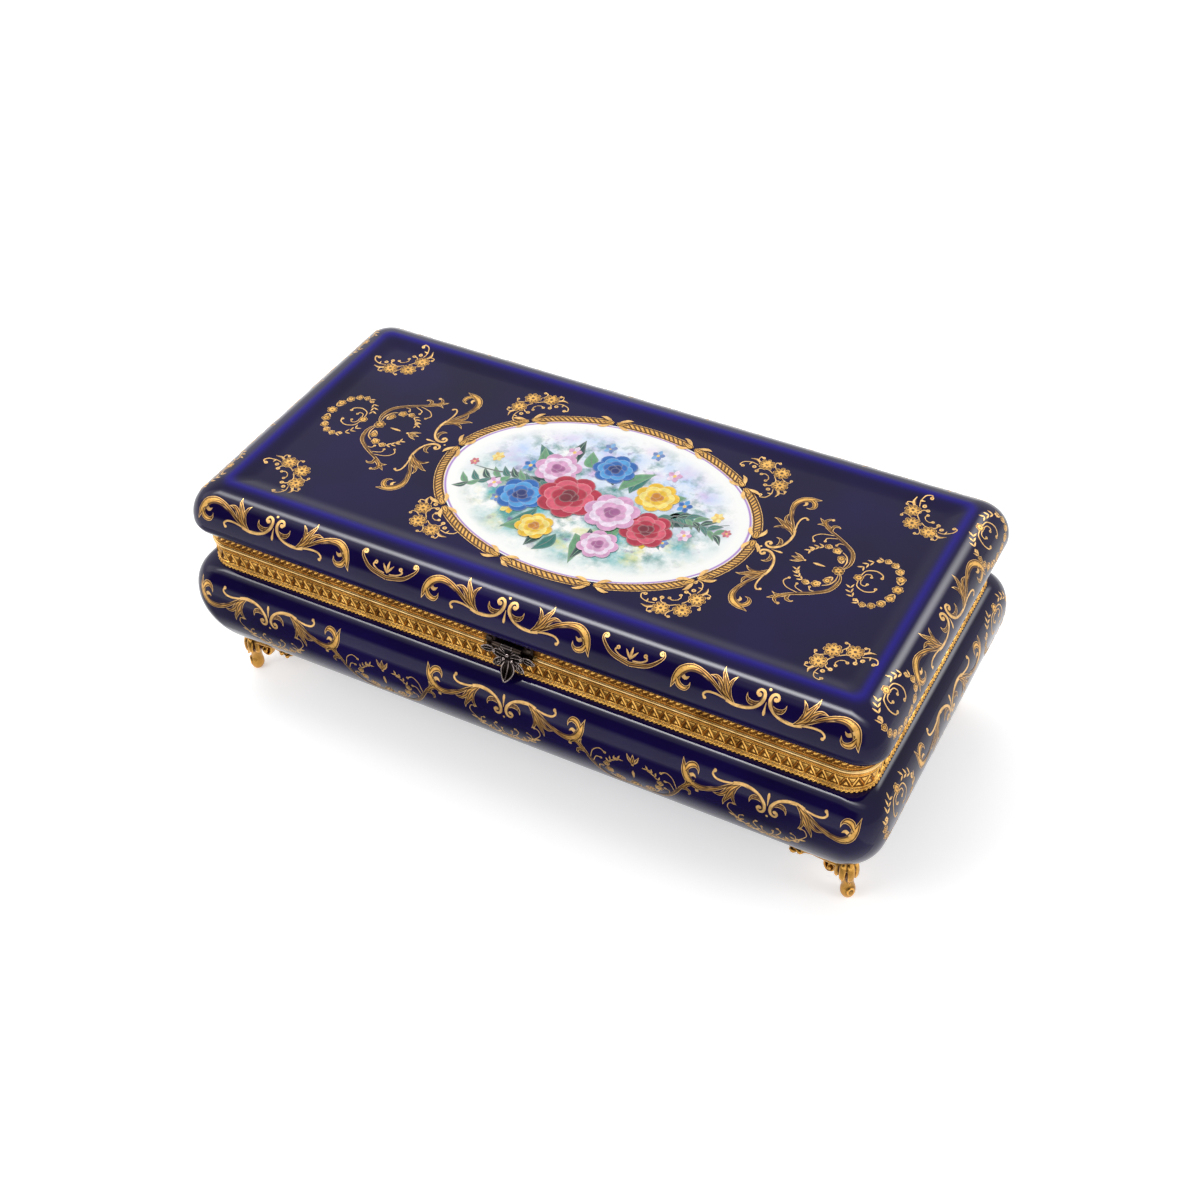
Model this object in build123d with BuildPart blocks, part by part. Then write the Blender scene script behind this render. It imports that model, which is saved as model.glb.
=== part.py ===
from build123d import *
import os

# A glazed porcelain casket: a bulging base on four cast feet, and a hinged lid with a
# raised ridge round a sunk top panel. Each half has a gilt brass channel bedded on its lip.
# Millimetres. The origin is on the table, under the middle of the casket. +X is to the
# right along the front, +Y runs to the back, +Z is up. Heights are above the table.
# An offset is a distance outwards from the ridge rectangle of the lid.

# Ridge rectangle of the lid, the rectangle that every outline is set out from
RIDGE_X = 146.0
RIDGE_Y = 64.2
RIDGE_TOP = 112.7

# Outer profiles, as Bezier control points (offset, height), and corner radii
LID_WIDEST = 14.8
LID_SHOULDER = ((0, RIDGE_TOP), (8.6, 111.3), (LID_WIDEST, 105.4), (LID_WIDEST, 96.1))
LID_ROLL = ((LID_WIDEST, 96.1), (LID_WIDEST, 92.5), (11.8, 89.5), (8.2, 89.5))
LID_CORNERS = (4.0, 12.0)
BASE_WIDEST = 18.6
BASE_SHOULDER = ((9.6, 71.2), (15.0, 69.7), (BASE_WIDEST, 65.2), (BASE_WIDEST, 54.5))
BASE_ROLL = ((BASE_WIDEST, 54.5), (BASE_WIDEST, 40.7), (10.0, 24.2), (0, 24.2))
BASE_CORNERS = (9.0, 14.0)
PROFILE_STEPS = 8

# Sunk panel on the lid, and the hollows inside the porcelain, as (offset, height)
PANEL_CORNERS = (3.4, 3.4)
PANEL = ((-1.0, RIDGE_TOP), (-3.0, 111.6), (-6.0, 110.95), (-10.0, 110.7))
LID_HOLLOW = (
    (3.0, 89.5), (7.2, 92.2), (9.8, 96.3), (9.3, 100.3), (7.4, 103.4), (3.0, 105.3), (-4.0, 105.7),
)
BASE_HOLLOW = (
    (3.0, 71.2), (8.6, 66.8), (12.4, 62.0), (13.6, 54.5), (12.4, 44.7), (8.4, 36.0), (2.0, 30.7),
    (-6.0, 29.2),
)
HOLLOW_CORNERS = (5.0, 9.0)

# Porcelain lips that stand in the brass channels
LIP_OUT = 7.6
LIP_IN = 3.0
BASE_LIP_TOP = 79.9
LID_LIP_BOTTOM = 84.2

# Brass channels: outer wall, flange and inner skirt, with the same corner at every offset
RIM_OUT = 9.6
RIM_CORNER = 12.0
RIM_WALL = 1.0
SKIRT_IN = 1.0
BASE_RIM_LOW = 71.3
BASE_RIM_TOP = 81.9
BASE_SKIRT_LOW = 75.0
LID_RIM_LOW = 82.2
LID_RIM_TOP = 89.3
LID_SKIRT_TOP = 88.0

# Strips soldered on the channels
BEAD_LOW = 82.4
BEAD_HIGH = 84.6
BEAD_OUT = 10.8
BEAD_ROUND = 1.0
BEAD_CLEAR = 1.2
EDGING_LOW = 71.4
EDGING_HIGH = 73.0
EDGING_OUT = 10.3
EDGING_ROUND = 0.5

# Back hinges
HINGE_CENTRES = {"left": -75.0, "right": 75.0}
HINGE_WIDTH = 24.0
HINGE_AXIS_Y = RIDGE_Y + RIM_OUT + 2.4
HINGE_AXIS_Z = 82.05
KNUCKLE_R = 2.2
HINGE_PIN_R = 1.0
MIDDLE_KNUCKLE = 9.8
KNUCKLE_GAP = 0.3
RUNNING_GAP = 0.05
LEAF = 1.0
BASE_LEAF_LOW = 73.4
BASE_LEAF_HIGH = 79.4
LID_LEAF_LOW = 84.9
LID_LEAF_HIGH = 88.9
PIN_HEAD_R = 1.7
PIN_HEAD = 0.9

# Rivets of the hinges and of the clasp plate
RIVET_R = 0.9
RIVET_HEAD_R = 1.5
RIVET_HEAD = 0.8
HEAD_ROUND = 0.7
RIVET_X = 8.0
BASE_RIVET_Z = 76.4
LID_RIVET_Z = 86.9

# Clasp in the middle of the front
CLASP_AXIS_Y = -(RIDGE_Y + RIM_OUT + 2.6)
CLASP_AXIS_Z = 87.2
CLASP_KNUCKLE_R = 1.3
CLASP_PIN_R = 0.6
CLASP_INNER = 2.7
CLASP_OUTER = 6.0
CLASP_PLATE_X = 11.0
CLASP_PLATE_LOW = 83.0
CLASP_PLATE_HIGH = 89.1
CLASP_RIVET_X = 9.0
CLASP_RIVET_Z = 87.4
CLASP_PLATE = 1.0
CLASP_PLATE_ROUND = 1.5
CLASP_WEB = 0.8
CLASP_HEAD_R = 1.3
CLASP_HEAD = 0.7
HASP_BACK = RIDGE_Y + RIM_OUT + 1.4
HASP_THICK = 1.4
HASP_BOSS_Z = 80.2
HASP_BOSS = (4.2, 4.6)
# Leaves of the hasp: distance from the middle, height, half length, half width, tilt
HASP_LEAVES = ((6.8, 82.9, 5.2, 2.0, -8), (5.2, 78.2, 4.2, 1.8, -38))
TONGUE_X = 3.4
# Arcs of the curled tongue as (Y, height), its back and then its front
TONGUE_BACK = ((-HASP_BACK - 0.2, 78.5), (-HASP_BACK - 1.1, 73.4), (-HASP_BACK - 4.2, 70.9))
TONGUE_FRONT = ((-HASP_BACK - 1.2, 78.5), (-HASP_BACK - 2.3, 74.2), (-HASP_BACK - 4.9, 72.1))
TONGUE_PETAL_Z = 76.6
TONGUE_PETAL = 6.0
CATCH_Z = 77.5
CATCH_R = 1.8
CATCH_HEAD = 1.1

# Corner feet, each set out from its corner of the ridge rectangle
FOOT_TOP = 24.2
FOOT_PLATE = 2.6
FOOT_ARM = 24.0
FOOT_ARM_WIDE = 6.4
FOOT_SCREW_IN = 12.0
FOOT_LUG_R = 5.0
FOOT_LUG = 6.4
# Leg sections: distances outwards along X and along Y from the corner, height, half width
FOOT_LEG = (
    (-0.5, -2.0, 22.4, 5.0), (1.0, -1.6, 18.2, 5.6), (2.0, -1.3, 13.2, 4.8),
    (2.6, -1.2, 8.2, 2.9), (3.0, -1.2, 3.8, 3.4), (3.2, -1.2, 0.0, 2.7),
)
VOLUTE_R = 2.3
VOLUTE_WIDE = 5.0
VOLUTE_IN = 5.2
VOLUTE_DEPTH = 1.6
VOLUTE_Z = 14.4
TIP_R = 2.0
SCREW_R = 1.5
SCREW_HEAD_R = 3.2
SCREW_HEAD = 2.0
SCREW_LOW = 19.4
SLOT = 0.8
WASHER = 1.0
WASHER_R = 4.8
FLOOR_TOP = 29.2
FLOOR_HOLE_R = 2.0


def along(curve, t):
    """The point at parameter t of a cubic Bezier curve."""
    weights = ((1 - t) ** 3, 3 * (1 - t) ** 2 * t, 3 * (1 - t) * t**2, t**3)
    return tuple(sum(w * point[i] for w, point in zip(weights, curve)) for i in (0, 1))


def profile_points(*curves):
    """Points from the start of the first curve to the end of the last."""
    points = [curves[0][0]]
    for curve in curves:
        points += [along(curve, step / PROFILE_STEPS) for step in range(1, PROFILE_STEPS + 1)]
    return points


def form(points, corners, widest):
    """A body lofted through rounded rectangles, one for each (offset, height)."""
    with BuildPart() as body:
        for offset_out, height in sorted(points, key=lambda point: point[1]):
            radius = corners[0] + (corners[1] - corners[0]) * max(offset_out, 0) / widest
            with BuildSketch(Plane.XY.offset(height)):
                RectangleRounded(2 * (RIDGE_X + offset_out), 2 * (RIDGE_Y + offset_out), radius)
        loft()
    return body.part


def band(outer, inner, low, high):
    """An upright band between two offsets, its corners concentric with the channels'."""
    with BuildPart() as body:
        with BuildSketch(Plane.XY.offset(low)):
            for reach, mode in ((outer, Mode.ADD), (inner, Mode.SUBTRACT)):
                RectangleRounded(
                    2 * (RIDGE_X + reach),
                    2 * (RIDGE_Y + reach),
                    RIM_CORNER - RIM_OUT + reach,
                    mode=mode,
                )
        extrude(amount=high - low)
    return body.part


def block(x_range, y_range, z_range):
    """A rectangular block between two values on each axis."""
    with BuildPart() as body:
        with BuildSketch(Plane.XY.offset(z_range[0])):
            with Locations((sum(x_range) / 2, sum(y_range) / 2)):
                Rectangle(x_range[1] - x_range[0], y_range[1] - y_range[0])
        extrude(amount=z_range[1] - z_range[0])
    return body.part


def rod(x_range, y, z, radius):
    """A round rod along X."""
    with BuildPart() as body:
        with BuildSketch(Plane.YZ.offset(x_range[0])):
            with Locations((y, z)):
                Circle(radius)
        extrude(amount=x_range[1] - x_range[0])
    return body.part


def shank(x, z, start_y, end_y, radius):
    """A round rod along Y between two values of Y."""
    way = 1 if end_y > start_y else -1
    with BuildPart() as body:
        with BuildSketch(Plane(origin=(x, start_y, z), x_dir=(1, 0, 0), z_dir=(0, way, 0))):
            Circle(radius)
        extrude(amount=abs(end_y - start_y))
    return body.part


def rivet(x, z, inner_y, outer_y, head_radius, head):
    """A rivet along Y: shank from inner_y to outer_y, with a low round head beyond it."""
    way = 1 if outer_y > inner_y else -1
    with BuildPart() as body:
        add(shank(x, z, inner_y, outer_y, RIVET_R))
        add(shank(x, z, outer_y, outer_y + way * head, head_radius))
        rims = body.edges().filter_by(GeomType.CIRCLE).sort_by(Axis.Y)
        fillet(rims[-1] if way > 0 else rims[0], head * HEAD_ROUND)
    return body.part


def keep(piece, name):
    """Label a finished piece and write its file."""
    piece.label = name
    export_step(piece, f"parts/{name}.step")


os.makedirs("parts", exist_ok=True)

mount_back = RIDGE_Y + RIM_OUT
mount_front = -mount_back
wall_in = RIM_OUT - RIM_WALL
skirt_out = SKIRT_IN + RIM_WALL
inner_back = RIDGE_Y + wall_in
hinge_rivets_x = [centre + side * RIVET_X for centre in HINGE_CENTRES.values() for side in (-1, 1)]
screw_spots = [
    (side_x * (RIDGE_X - FOOT_SCREW_IN), side_y * (RIDGE_Y - FOOT_SCREW_IN))
    for side_x in (-1, 1)
    for side_y in (-1, 1)
]

# Base shell: slip-cast porcelain with an even wall, a lip for the channel and four screw holes
with BuildPart() as base_shell:
    add(form(profile_points(BASE_SHOULDER, BASE_ROLL), BASE_CORNERS, BASE_WIDEST))
    add(form(BASE_HOLLOW, HOLLOW_CORNERS, BASE_WIDEST), mode=Mode.SUBTRACT)
    add(band(LIP_OUT, LIP_IN, BASE_SHOULDER[0][1], BASE_LIP_TOP))
    with BuildSketch(Plane.XY.offset(FOOT_TOP)):
        with Locations(*screw_spots):
            Circle(FLOOR_HOLE_R)
    extrude(amount=FLOOR_TOP - FOOT_TOP, mode=Mode.SUBTRACT)
keep(base_shell.part, "base_shell")

# Lid shell: the same kind of body, open below, with the sunk panel cut into its top
with BuildPart() as lid_shell:
    add(form(profile_points(LID_SHOULDER, LID_ROLL), LID_CORNERS, LID_WIDEST))
    add(form(PANEL, PANEL_CORNERS, LID_WIDEST), mode=Mode.SUBTRACT)
    add(form(LID_HOLLOW, HOLLOW_CORNERS, LID_WIDEST), mode=Mode.SUBTRACT)
    add(band(LIP_OUT, LIP_IN, LID_LIP_BOTTOM, LID_ROLL[-1][1]))
keep(lid_shell.part, "lid_shell")

# Brass channels: wall outside, flange at the joint, skirt inside the lip, rivet holes
with BuildPart() as base_rim_mount:
    add(band(RIM_OUT, wall_in, BASE_RIM_LOW, BASE_RIM_TOP))
    add(band(RIM_OUT, SKIRT_IN, BASE_RIM_TOP - RIM_WALL, BASE_RIM_TOP))
    add(band(skirt_out, SKIRT_IN, BASE_SKIRT_LOW, BASE_RIM_TOP))
    for rivet_x in hinge_rivets_x:
        add(shank(rivet_x, BASE_RIVET_Z, inner_back, mount_back, RIVET_R), mode=Mode.SUBTRACT)
    add(shank(0, CATCH_Z, -inner_back, mount_front, RIVET_R), mode=Mode.SUBTRACT)
keep(base_rim_mount.part, "base_rim_mount")

with BuildPart() as lid_rim_mount:
    add(band(RIM_OUT, wall_in, LID_RIM_LOW, LID_RIM_TOP))
    add(band(RIM_OUT, SKIRT_IN, LID_RIM_LOW, LID_RIM_LOW + RIM_WALL))
    add(band(skirt_out, SKIRT_IN, LID_RIM_LOW, LID_SKIRT_TOP))
    for rivet_x in hinge_rivets_x:
        add(shank(rivet_x, LID_RIVET_Z, inner_back, mount_back, RIVET_R), mode=Mode.SUBTRACT)
    for rivet_x in (-CLASP_RIVET_X, CLASP_RIVET_X):
        hole = shank(rivet_x, CLASP_RIVET_Z, -inner_back, mount_front, RIVET_R)
        add(hole, mode=Mode.SUBTRACT)
keep(lid_rim_mount.part, "lid_rim_mount")

# Plaster bedding: fills each channel round the porcelain lip
with BuildPart() as base_bedding:
    add(band(wall_in, skirt_out, BASE_SKIRT_LOW, BASE_RIM_TOP - RIM_WALL))
    add(band(wall_in, LIP_OUT, BASE_RIM_LOW, BASE_SKIRT_LOW))
    add(band(LIP_OUT, LIP_IN, BASE_SKIRT_LOW, BASE_LIP_TOP), mode=Mode.SUBTRACT)
keep(base_bedding.part, "base_bedding")

with BuildPart() as lid_bedding:
    add(band(wall_in, skirt_out, LID_RIM_LOW + RIM_WALL, LID_SKIRT_TOP))
    add(band(wall_in, LIP_OUT, LID_SKIRT_TOP, LID_RIM_TOP))
    add(band(LIP_OUT, LIP_IN, LID_LIP_BOTTOM, LID_SKIRT_TOP), mode=Mode.SUBTRACT)
keep(lid_bedding.part, "lid_bedding")

# Half-round bead along the joint, cut away for the hinges and the clasp plate
with BuildPart() as lid_rim_bead:
    add(band(BEAD_OUT, RIM_OUT, BEAD_LOW, BEAD_HIGH))
    levels = lid_rim_bead.faces().sort_by(Axis.Z)
    fillet(levels[0].outer_wire().edges() + levels[-1].outer_wire().edges(), BEAD_ROUND)
    for centre in HINGE_CENTRES.values():
        reach = HINGE_WIDTH / 2 + BEAD_CLEAR
        add(
            block((centre - reach, centre + reach), (RIDGE_Y, 2 * RIDGE_Y), (BEAD_LOW, BEAD_HIGH)),
            mode=Mode.SUBTRACT,
        )
    reach = CLASP_PLATE_X + BEAD_CLEAR
    add(
        block((-reach, reach), (-2 * RIDGE_Y, -RIDGE_Y), (BEAD_LOW, BEAD_HIGH)),
        mode=Mode.SUBTRACT,
    )
keep(lid_rim_bead.part, "lid_rim_bead")

# Narrow edging along the foot of the base's channel
with BuildPart() as base_rim_edging:
    add(band(EDGING_OUT, RIM_OUT, EDGING_LOW, EDGING_HIGH))
    levels = base_rim_edging.faces().sort_by(Axis.Z)
    fillet(levels[0].outer_wire().edges() + levels[-1].outer_wire().edges(), EDGING_ROUND)
keep(base_rim_edging.part, "base_rim_edging")

# Back hinges: two knuckles on the base leaf, one between them on the lid leaf, headed pin
leaf_y = (mount_back, mount_back + LEAF)
for side, centre in HINGE_CENTRES.items():
    low, high = centre - HINGE_WIDTH / 2, centre + HINGE_WIDTH / 2
    middle = (centre - MIDDLE_KNUCKLE / 2, centre + MIDDLE_KNUCKLE / 2)
    outer = ((low, middle[0] - KNUCKLE_GAP), (middle[1] + KNUCKLE_GAP, high))
    bore = rod((low, high), HINGE_AXIS_Y, HINGE_AXIS_Z, HINGE_PIN_R + RUNNING_GAP)
    rivets_x = (centre - RIVET_X, centre + RIVET_X)

    with BuildPart() as base_leaf:
        add(block((low, high), leaf_y, (BASE_LEAF_LOW, BASE_LEAF_HIGH)))
        for knuckle in outer:
            add(block(knuckle, leaf_y, (BASE_LEAF_HIGH, BASE_RIM_TOP)))
            add(rod(knuckle, HINGE_AXIS_Y, HINGE_AXIS_Z, KNUCKLE_R))
        add(bore, mode=Mode.SUBTRACT)
        for rivet_x in rivets_x:
            add(shank(rivet_x, BASE_RIVET_Z, *leaf_y, RIVET_R), mode=Mode.SUBTRACT)
    keep(base_leaf.part, f"hinge_{side}_base_leaf")

    with BuildPart() as lid_leaf:
        add(block((low, high), leaf_y, (LID_LEAF_LOW, LID_LEAF_HIGH)))
        add(block(middle, leaf_y, (LID_RIM_LOW, LID_LEAF_LOW)))
        add(rod(middle, HINGE_AXIS_Y, HINGE_AXIS_Z, KNUCKLE_R))
        add(bore, mode=Mode.SUBTRACT)
        for rivet_x in rivets_x:
            add(shank(rivet_x, LID_RIVET_Z, *leaf_y, RIVET_R), mode=Mode.SUBTRACT)
    keep(lid_leaf.part, f"hinge_{side}_lid_leaf")

    with BuildPart() as hinge_pin:
        add(rod((low, high), HINGE_AXIS_Y, HINGE_AXIS_Z, HINGE_PIN_R))
        for head in ((low - PIN_HEAD, low), (high, high + PIN_HEAD)):
            add(rod(head, HINGE_AXIS_Y, HINGE_AXIS_Z, PIN_HEAD_R))
        rims = hinge_pin.edges().filter_by(GeomType.CIRCLE).sort_by(Axis.X)
        fillet([rims[0], rims[-1]], PIN_HEAD * HEAD_ROUND)
    keep(hinge_pin.part, f"hinge_{side}_pin")

for name, height in (("hinge_base_rivets", BASE_RIVET_Z), ("hinge_lid_rivets", LID_RIVET_Z)):
    with BuildPart() as hinge_rivets:
        for rivet_x in hinge_rivets_x:
            add(rivet(rivet_x, height, inner_back, leaf_y[1], RIVET_HEAD_R, RIVET_HEAD))
    keep(hinge_rivets.part, name)

# Clasp plate: riveted on the lid's channel, with two knuckles
plate_front = mount_front - CLASP_PLATE
with BuildPart() as clasp_plate:
    add(
        block(
            (-CLASP_PLATE_X, CLASP_PLATE_X),
            (plate_front, mount_front),
            (CLASP_PLATE_LOW, CLASP_PLATE_HIGH),
        )
    )
    fillet(clasp_plate.edges().filter_by(Axis.Y), CLASP_PLATE_ROUND)
    knuckle_start = CLASP_INNER + KNUCKLE_GAP
    for knuckle in ((-CLASP_OUTER, -knuckle_start), (knuckle_start, CLASP_OUTER)):
        add(rod(knuckle, CLASP_AXIS_Y, CLASP_AXIS_Z, CLASP_KNUCKLE_R))
        add(
            block(
                knuckle,
                (CLASP_AXIS_Y, plate_front),
                (CLASP_AXIS_Z - CLASP_WEB, CLASP_AXIS_Z + CLASP_WEB),
            )
        )
    add(
        rod((-CLASP_OUTER, CLASP_OUTER), CLASP_AXIS_Y, CLASP_AXIS_Z, CLASP_PIN_R + RUNNING_GAP),
        mode=Mode.SUBTRACT,
    )
    for rivet_x in (-CLASP_RIVET_X, CLASP_RIVET_X):
        add(shank(rivet_x, CLASP_RIVET_Z, mount_front, plate_front, RIVET_R), mode=Mode.SUBTRACT)
keep(clasp_plate.part, "clasp_plate")

with BuildPart() as clasp_rivets:
    for rivet_x in (-CLASP_RIVET_X, CLASP_RIVET_X):
        add(rivet(rivet_x, CLASP_RIVET_Z, -inner_back, plate_front, CLASP_HEAD_R, CLASP_HEAD))
keep(clasp_rivets.part, "clasp_rivets")

with BuildPart() as clasp_pin:
    add(rod((-CLASP_OUTER, CLASP_OUTER), CLASP_AXIS_Y, CLASP_AXIS_Z, CLASP_PIN_R))
    for side in (-1, 1):
        head = sorted((side * CLASP_OUTER, side * (CLASP_OUTER + CLASP_HEAD)))
        add(rod(head, CLASP_AXIS_Y, CLASP_AXIS_Z, 2 * CLASP_PIN_R))
keep(clasp_pin.part, "clasp_pin")

# Hasp: a leaf-work flap that hangs from the pin, with a petal tongue curling outwards
with BuildPart() as clasp_hasp:
    with BuildSketch(Plane.XZ.offset(HASP_BACK)):
        with Locations((0, HASP_BOSS_Z)):
            Ellipse(*HASP_BOSS)
        for side in (-1, 1):
            for x, z, length, width, tilt in HASP_LEAVES:
                with Locations((side * x, z)):
                    Ellipse(length, width, rotation=side * tilt)
        with Locations((0, (HASP_BOSS_Z + CLASP_AXIS_Z) / 2)):
            Rectangle(2 * CLASP_INNER, CLASP_AXIS_Z - HASP_BOSS_Z)
    extrude(amount=HASP_THICK)
    add(rod((-CLASP_INNER, CLASP_INNER), CLASP_AXIS_Y, CLASP_AXIS_Z, CLASP_KNUCKLE_R))
    add(
        rod((-CLASP_INNER, CLASP_INNER), CLASP_AXIS_Y, CLASP_AXIS_Z, CLASP_PIN_R + RUNNING_GAP),
        mode=Mode.SUBTRACT,
    )

with BuildPart() as tongue:
    with BuildSketch(Plane.YZ.offset(-TONGUE_X)):
        with BuildLine():
            back = ThreePointArc(*TONGUE_BACK)
            front = ThreePointArc(*TONGUE_FRONT)
            Line(back @ 1, front @ 1)
            Line(front @ 0, back @ 0)
        make_face()
    extrude(amount=2 * TONGUE_X)
    with BuildSketch(Plane.XZ.offset(RIDGE_Y)):
        with Locations((0, TONGUE_PETAL_Z)):
            Ellipse(TONGUE_X, TONGUE_PETAL)
    extrude(amount=RIDGE_Y, mode=Mode.INTERSECT)

with BuildPart() as whole_hasp:
    add(clasp_hasp.part)
    add(tongue.part)
keep(whole_hasp.part, "clasp_hasp")

# Catch: a round-headed stud on the base's channel, just behind the hasp
with BuildPart() as clasp_catch:
    add(rivet(0, CATCH_Z, -inner_back, mount_front, CATCH_R, CATCH_HEAD))
keep(clasp_catch.part, "clasp_catch")


def corner_foot(side_x, side_y):
    """One cast foot: leg, two volutes, two bracket arms and a tapped lug for its screw."""
    corner_x, corner_y = side_x * RIDGE_X, side_y * RIDGE_Y

    def spot(back_x, back_y):
        """A place set back from the corner along X and Y."""
        return (corner_x - side_x * back_x, corner_y - side_y * back_y)

    with BuildPart() as leg:
        for out_x, out_y, height, radius in FOOT_LEG:
            with BuildSketch(Plane.XY.offset(height)):
                with Locations(spot(-out_x, -out_y)):
                    Circle(radius)
        loft()

    with BuildPart() as foot:
        with BuildSketch(Plane.XY.offset(FOOT_TOP)):
            with Locations(spot(FOOT_ARM / 2, FOOT_ARM_WIDE / 2)):
                Rectangle(FOOT_ARM, FOOT_ARM_WIDE)
            with Locations(spot(FOOT_ARM_WIDE / 2, FOOT_ARM / 2)):
                Rectangle(FOOT_ARM_WIDE, FOOT_ARM)
            with Locations(spot(FOOT_SCREW_IN / 2, FOOT_SCREW_IN / 2)):
                Rectangle(FOOT_SCREW_IN, FOOT_SCREW_IN)
        extrude(amount=-FOOT_PLATE)
        with BuildSketch(Plane.XY.offset(FOOT_TOP)):
            with Locations(spot(FOOT_SCREW_IN, FOOT_SCREW_IN)):
                Circle(FOOT_LUG_R)
        extrude(amount=-FOOT_LUG)
        add(leg.part)
        for back_x, back_y, turn in ((VOLUTE_IN, VOLUTE_DEPTH, 0), (VOLUTE_DEPTH, VOLUTE_IN, 90)):
            middle = spot(back_x, back_y)
            axis = Vector(0, 1, 0) if turn == 0 else Vector(1, 0, 0)
            start = Vector(*middle, VOLUTE_Z) - axis * VOLUTE_WIDE / 2
            with BuildSketch(Plane(origin=start, z_dir=axis)):
                Circle(VOLUTE_R)
            extrude(amount=VOLUTE_WIDE)
        for back_x, back_y, turn in (
            (FOOT_ARM - TIP_R, FOOT_ARM_WIDE / 2, 0),
            (FOOT_ARM_WIDE / 2, FOOT_ARM - TIP_R, 90),
        ):
            middle = spot(back_x, back_y)
            axis = Vector(0, 1, 0) if turn == 0 else Vector(1, 0, 0)
            start = Vector(*middle, FOOT_TOP - TIP_R) - axis * FOOT_ARM_WIDE / 2
            with BuildSketch(Plane(origin=start, z_dir=axis)):
                Circle(TIP_R)
            extrude(amount=FOOT_ARM_WIDE)
        with BuildSketch(Plane.XY.offset(FOOT_TOP)):
            with Locations(spot(FOOT_SCREW_IN, FOOT_SCREW_IN)):
                Circle(SCREW_R + RUNNING_GAP)
        extrude(amount=SCREW_LOW - FOOT_TOP, mode=Mode.SUBTRACT)
    return foot.part


# Feet: the same casting at each corner, left or right handed
for depth_name, side_y in (("front", -1), ("back", 1)):
    for width_name, side_x in (("left", -1), ("right", 1)):
        keep(corner_foot(side_x, side_y), f"foot_{depth_name}_{width_name}")

# Foot screws and their washers, on the floor inside the base
with BuildPart() as foot_washers:
    with BuildSketch(Plane.XY.offset(FLOOR_TOP)):
        with Locations(*screw_spots):
            Circle(WASHER_R)
            Circle(FLOOR_HOLE_R, mode=Mode.SUBTRACT)
    extrude(amount=WASHER)
keep(foot_washers.part, "foot_washers")

head_low = FLOOR_TOP + WASHER
with BuildPart() as foot_screws:
    with BuildSketch(Plane.XY.offset(SCREW_LOW)):
        with Locations(*screw_spots):
            Circle(SCREW_R)
    extrude(amount=head_low - SCREW_LOW)
    with BuildSketch(Plane.XY.offset(head_low)):
        with Locations(*screw_spots):
            Circle(SCREW_HEAD_R)
    extrude(amount=SCREW_HEAD)
    rims = foot_screws.edges().filter_by(GeomType.CIRCLE).group_by(Axis.Z)[-1]
    fillet(rims, SCREW_HEAD * HEAD_ROUND)
    with BuildSketch(Plane.XY.offset(head_low + SCREW_HEAD)):
        with Locations(*screw_spots):
            Rectangle(2 * SCREW_HEAD_R, SLOT)
    extrude(amount=-SCREW_HEAD / 2, mode=Mode.SUBTRACT)
keep(foot_screws.part, "foot_screws")
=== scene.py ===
import math

import bmesh
import bpy
from mathutils import Matrix, Vector


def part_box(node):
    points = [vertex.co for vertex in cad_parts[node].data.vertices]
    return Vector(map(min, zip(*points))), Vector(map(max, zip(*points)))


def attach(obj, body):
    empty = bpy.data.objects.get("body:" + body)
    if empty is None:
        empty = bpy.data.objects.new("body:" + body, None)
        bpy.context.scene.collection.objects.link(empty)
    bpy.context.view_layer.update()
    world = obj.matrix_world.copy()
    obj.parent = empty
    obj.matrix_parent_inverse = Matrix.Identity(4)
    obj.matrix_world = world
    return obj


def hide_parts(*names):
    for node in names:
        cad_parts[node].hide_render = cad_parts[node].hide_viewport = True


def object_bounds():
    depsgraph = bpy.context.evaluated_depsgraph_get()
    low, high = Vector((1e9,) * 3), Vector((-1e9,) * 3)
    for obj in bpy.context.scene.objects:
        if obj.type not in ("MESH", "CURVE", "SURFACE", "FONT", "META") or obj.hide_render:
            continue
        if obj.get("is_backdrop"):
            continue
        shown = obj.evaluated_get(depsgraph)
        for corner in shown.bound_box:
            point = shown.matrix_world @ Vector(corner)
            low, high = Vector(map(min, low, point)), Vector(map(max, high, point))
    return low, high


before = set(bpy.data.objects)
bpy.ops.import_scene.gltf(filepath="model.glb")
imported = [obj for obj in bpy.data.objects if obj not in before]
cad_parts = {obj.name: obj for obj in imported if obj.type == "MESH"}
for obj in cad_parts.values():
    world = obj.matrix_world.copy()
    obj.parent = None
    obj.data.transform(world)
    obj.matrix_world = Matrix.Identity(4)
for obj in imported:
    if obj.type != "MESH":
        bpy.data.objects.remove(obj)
cad_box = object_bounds()
bpy.ops.object.select_all(action="DESELECT")
MM = 0.001

# Camera
# It stands to the right of the front, above the lid, and looks down on the casket. The
# angles, the distance and the lens are those of the photograph.
camera_round, camera_up, camera_roll = (math.radians(a) for a in (28.87, 42.07, -1.32))
camera_target = Vector((33.7, -59.0, 112.7)) * MM
camera_distance = 702 * MM
camera_lens, camera_sensor = 53.36, 36


def add_object(name, data):
    """A new object of the scene, at the origin."""
    made = bpy.data.objects.new(name, data)
    bpy.context.scene.collection.objects.link(made)
    return made


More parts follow.
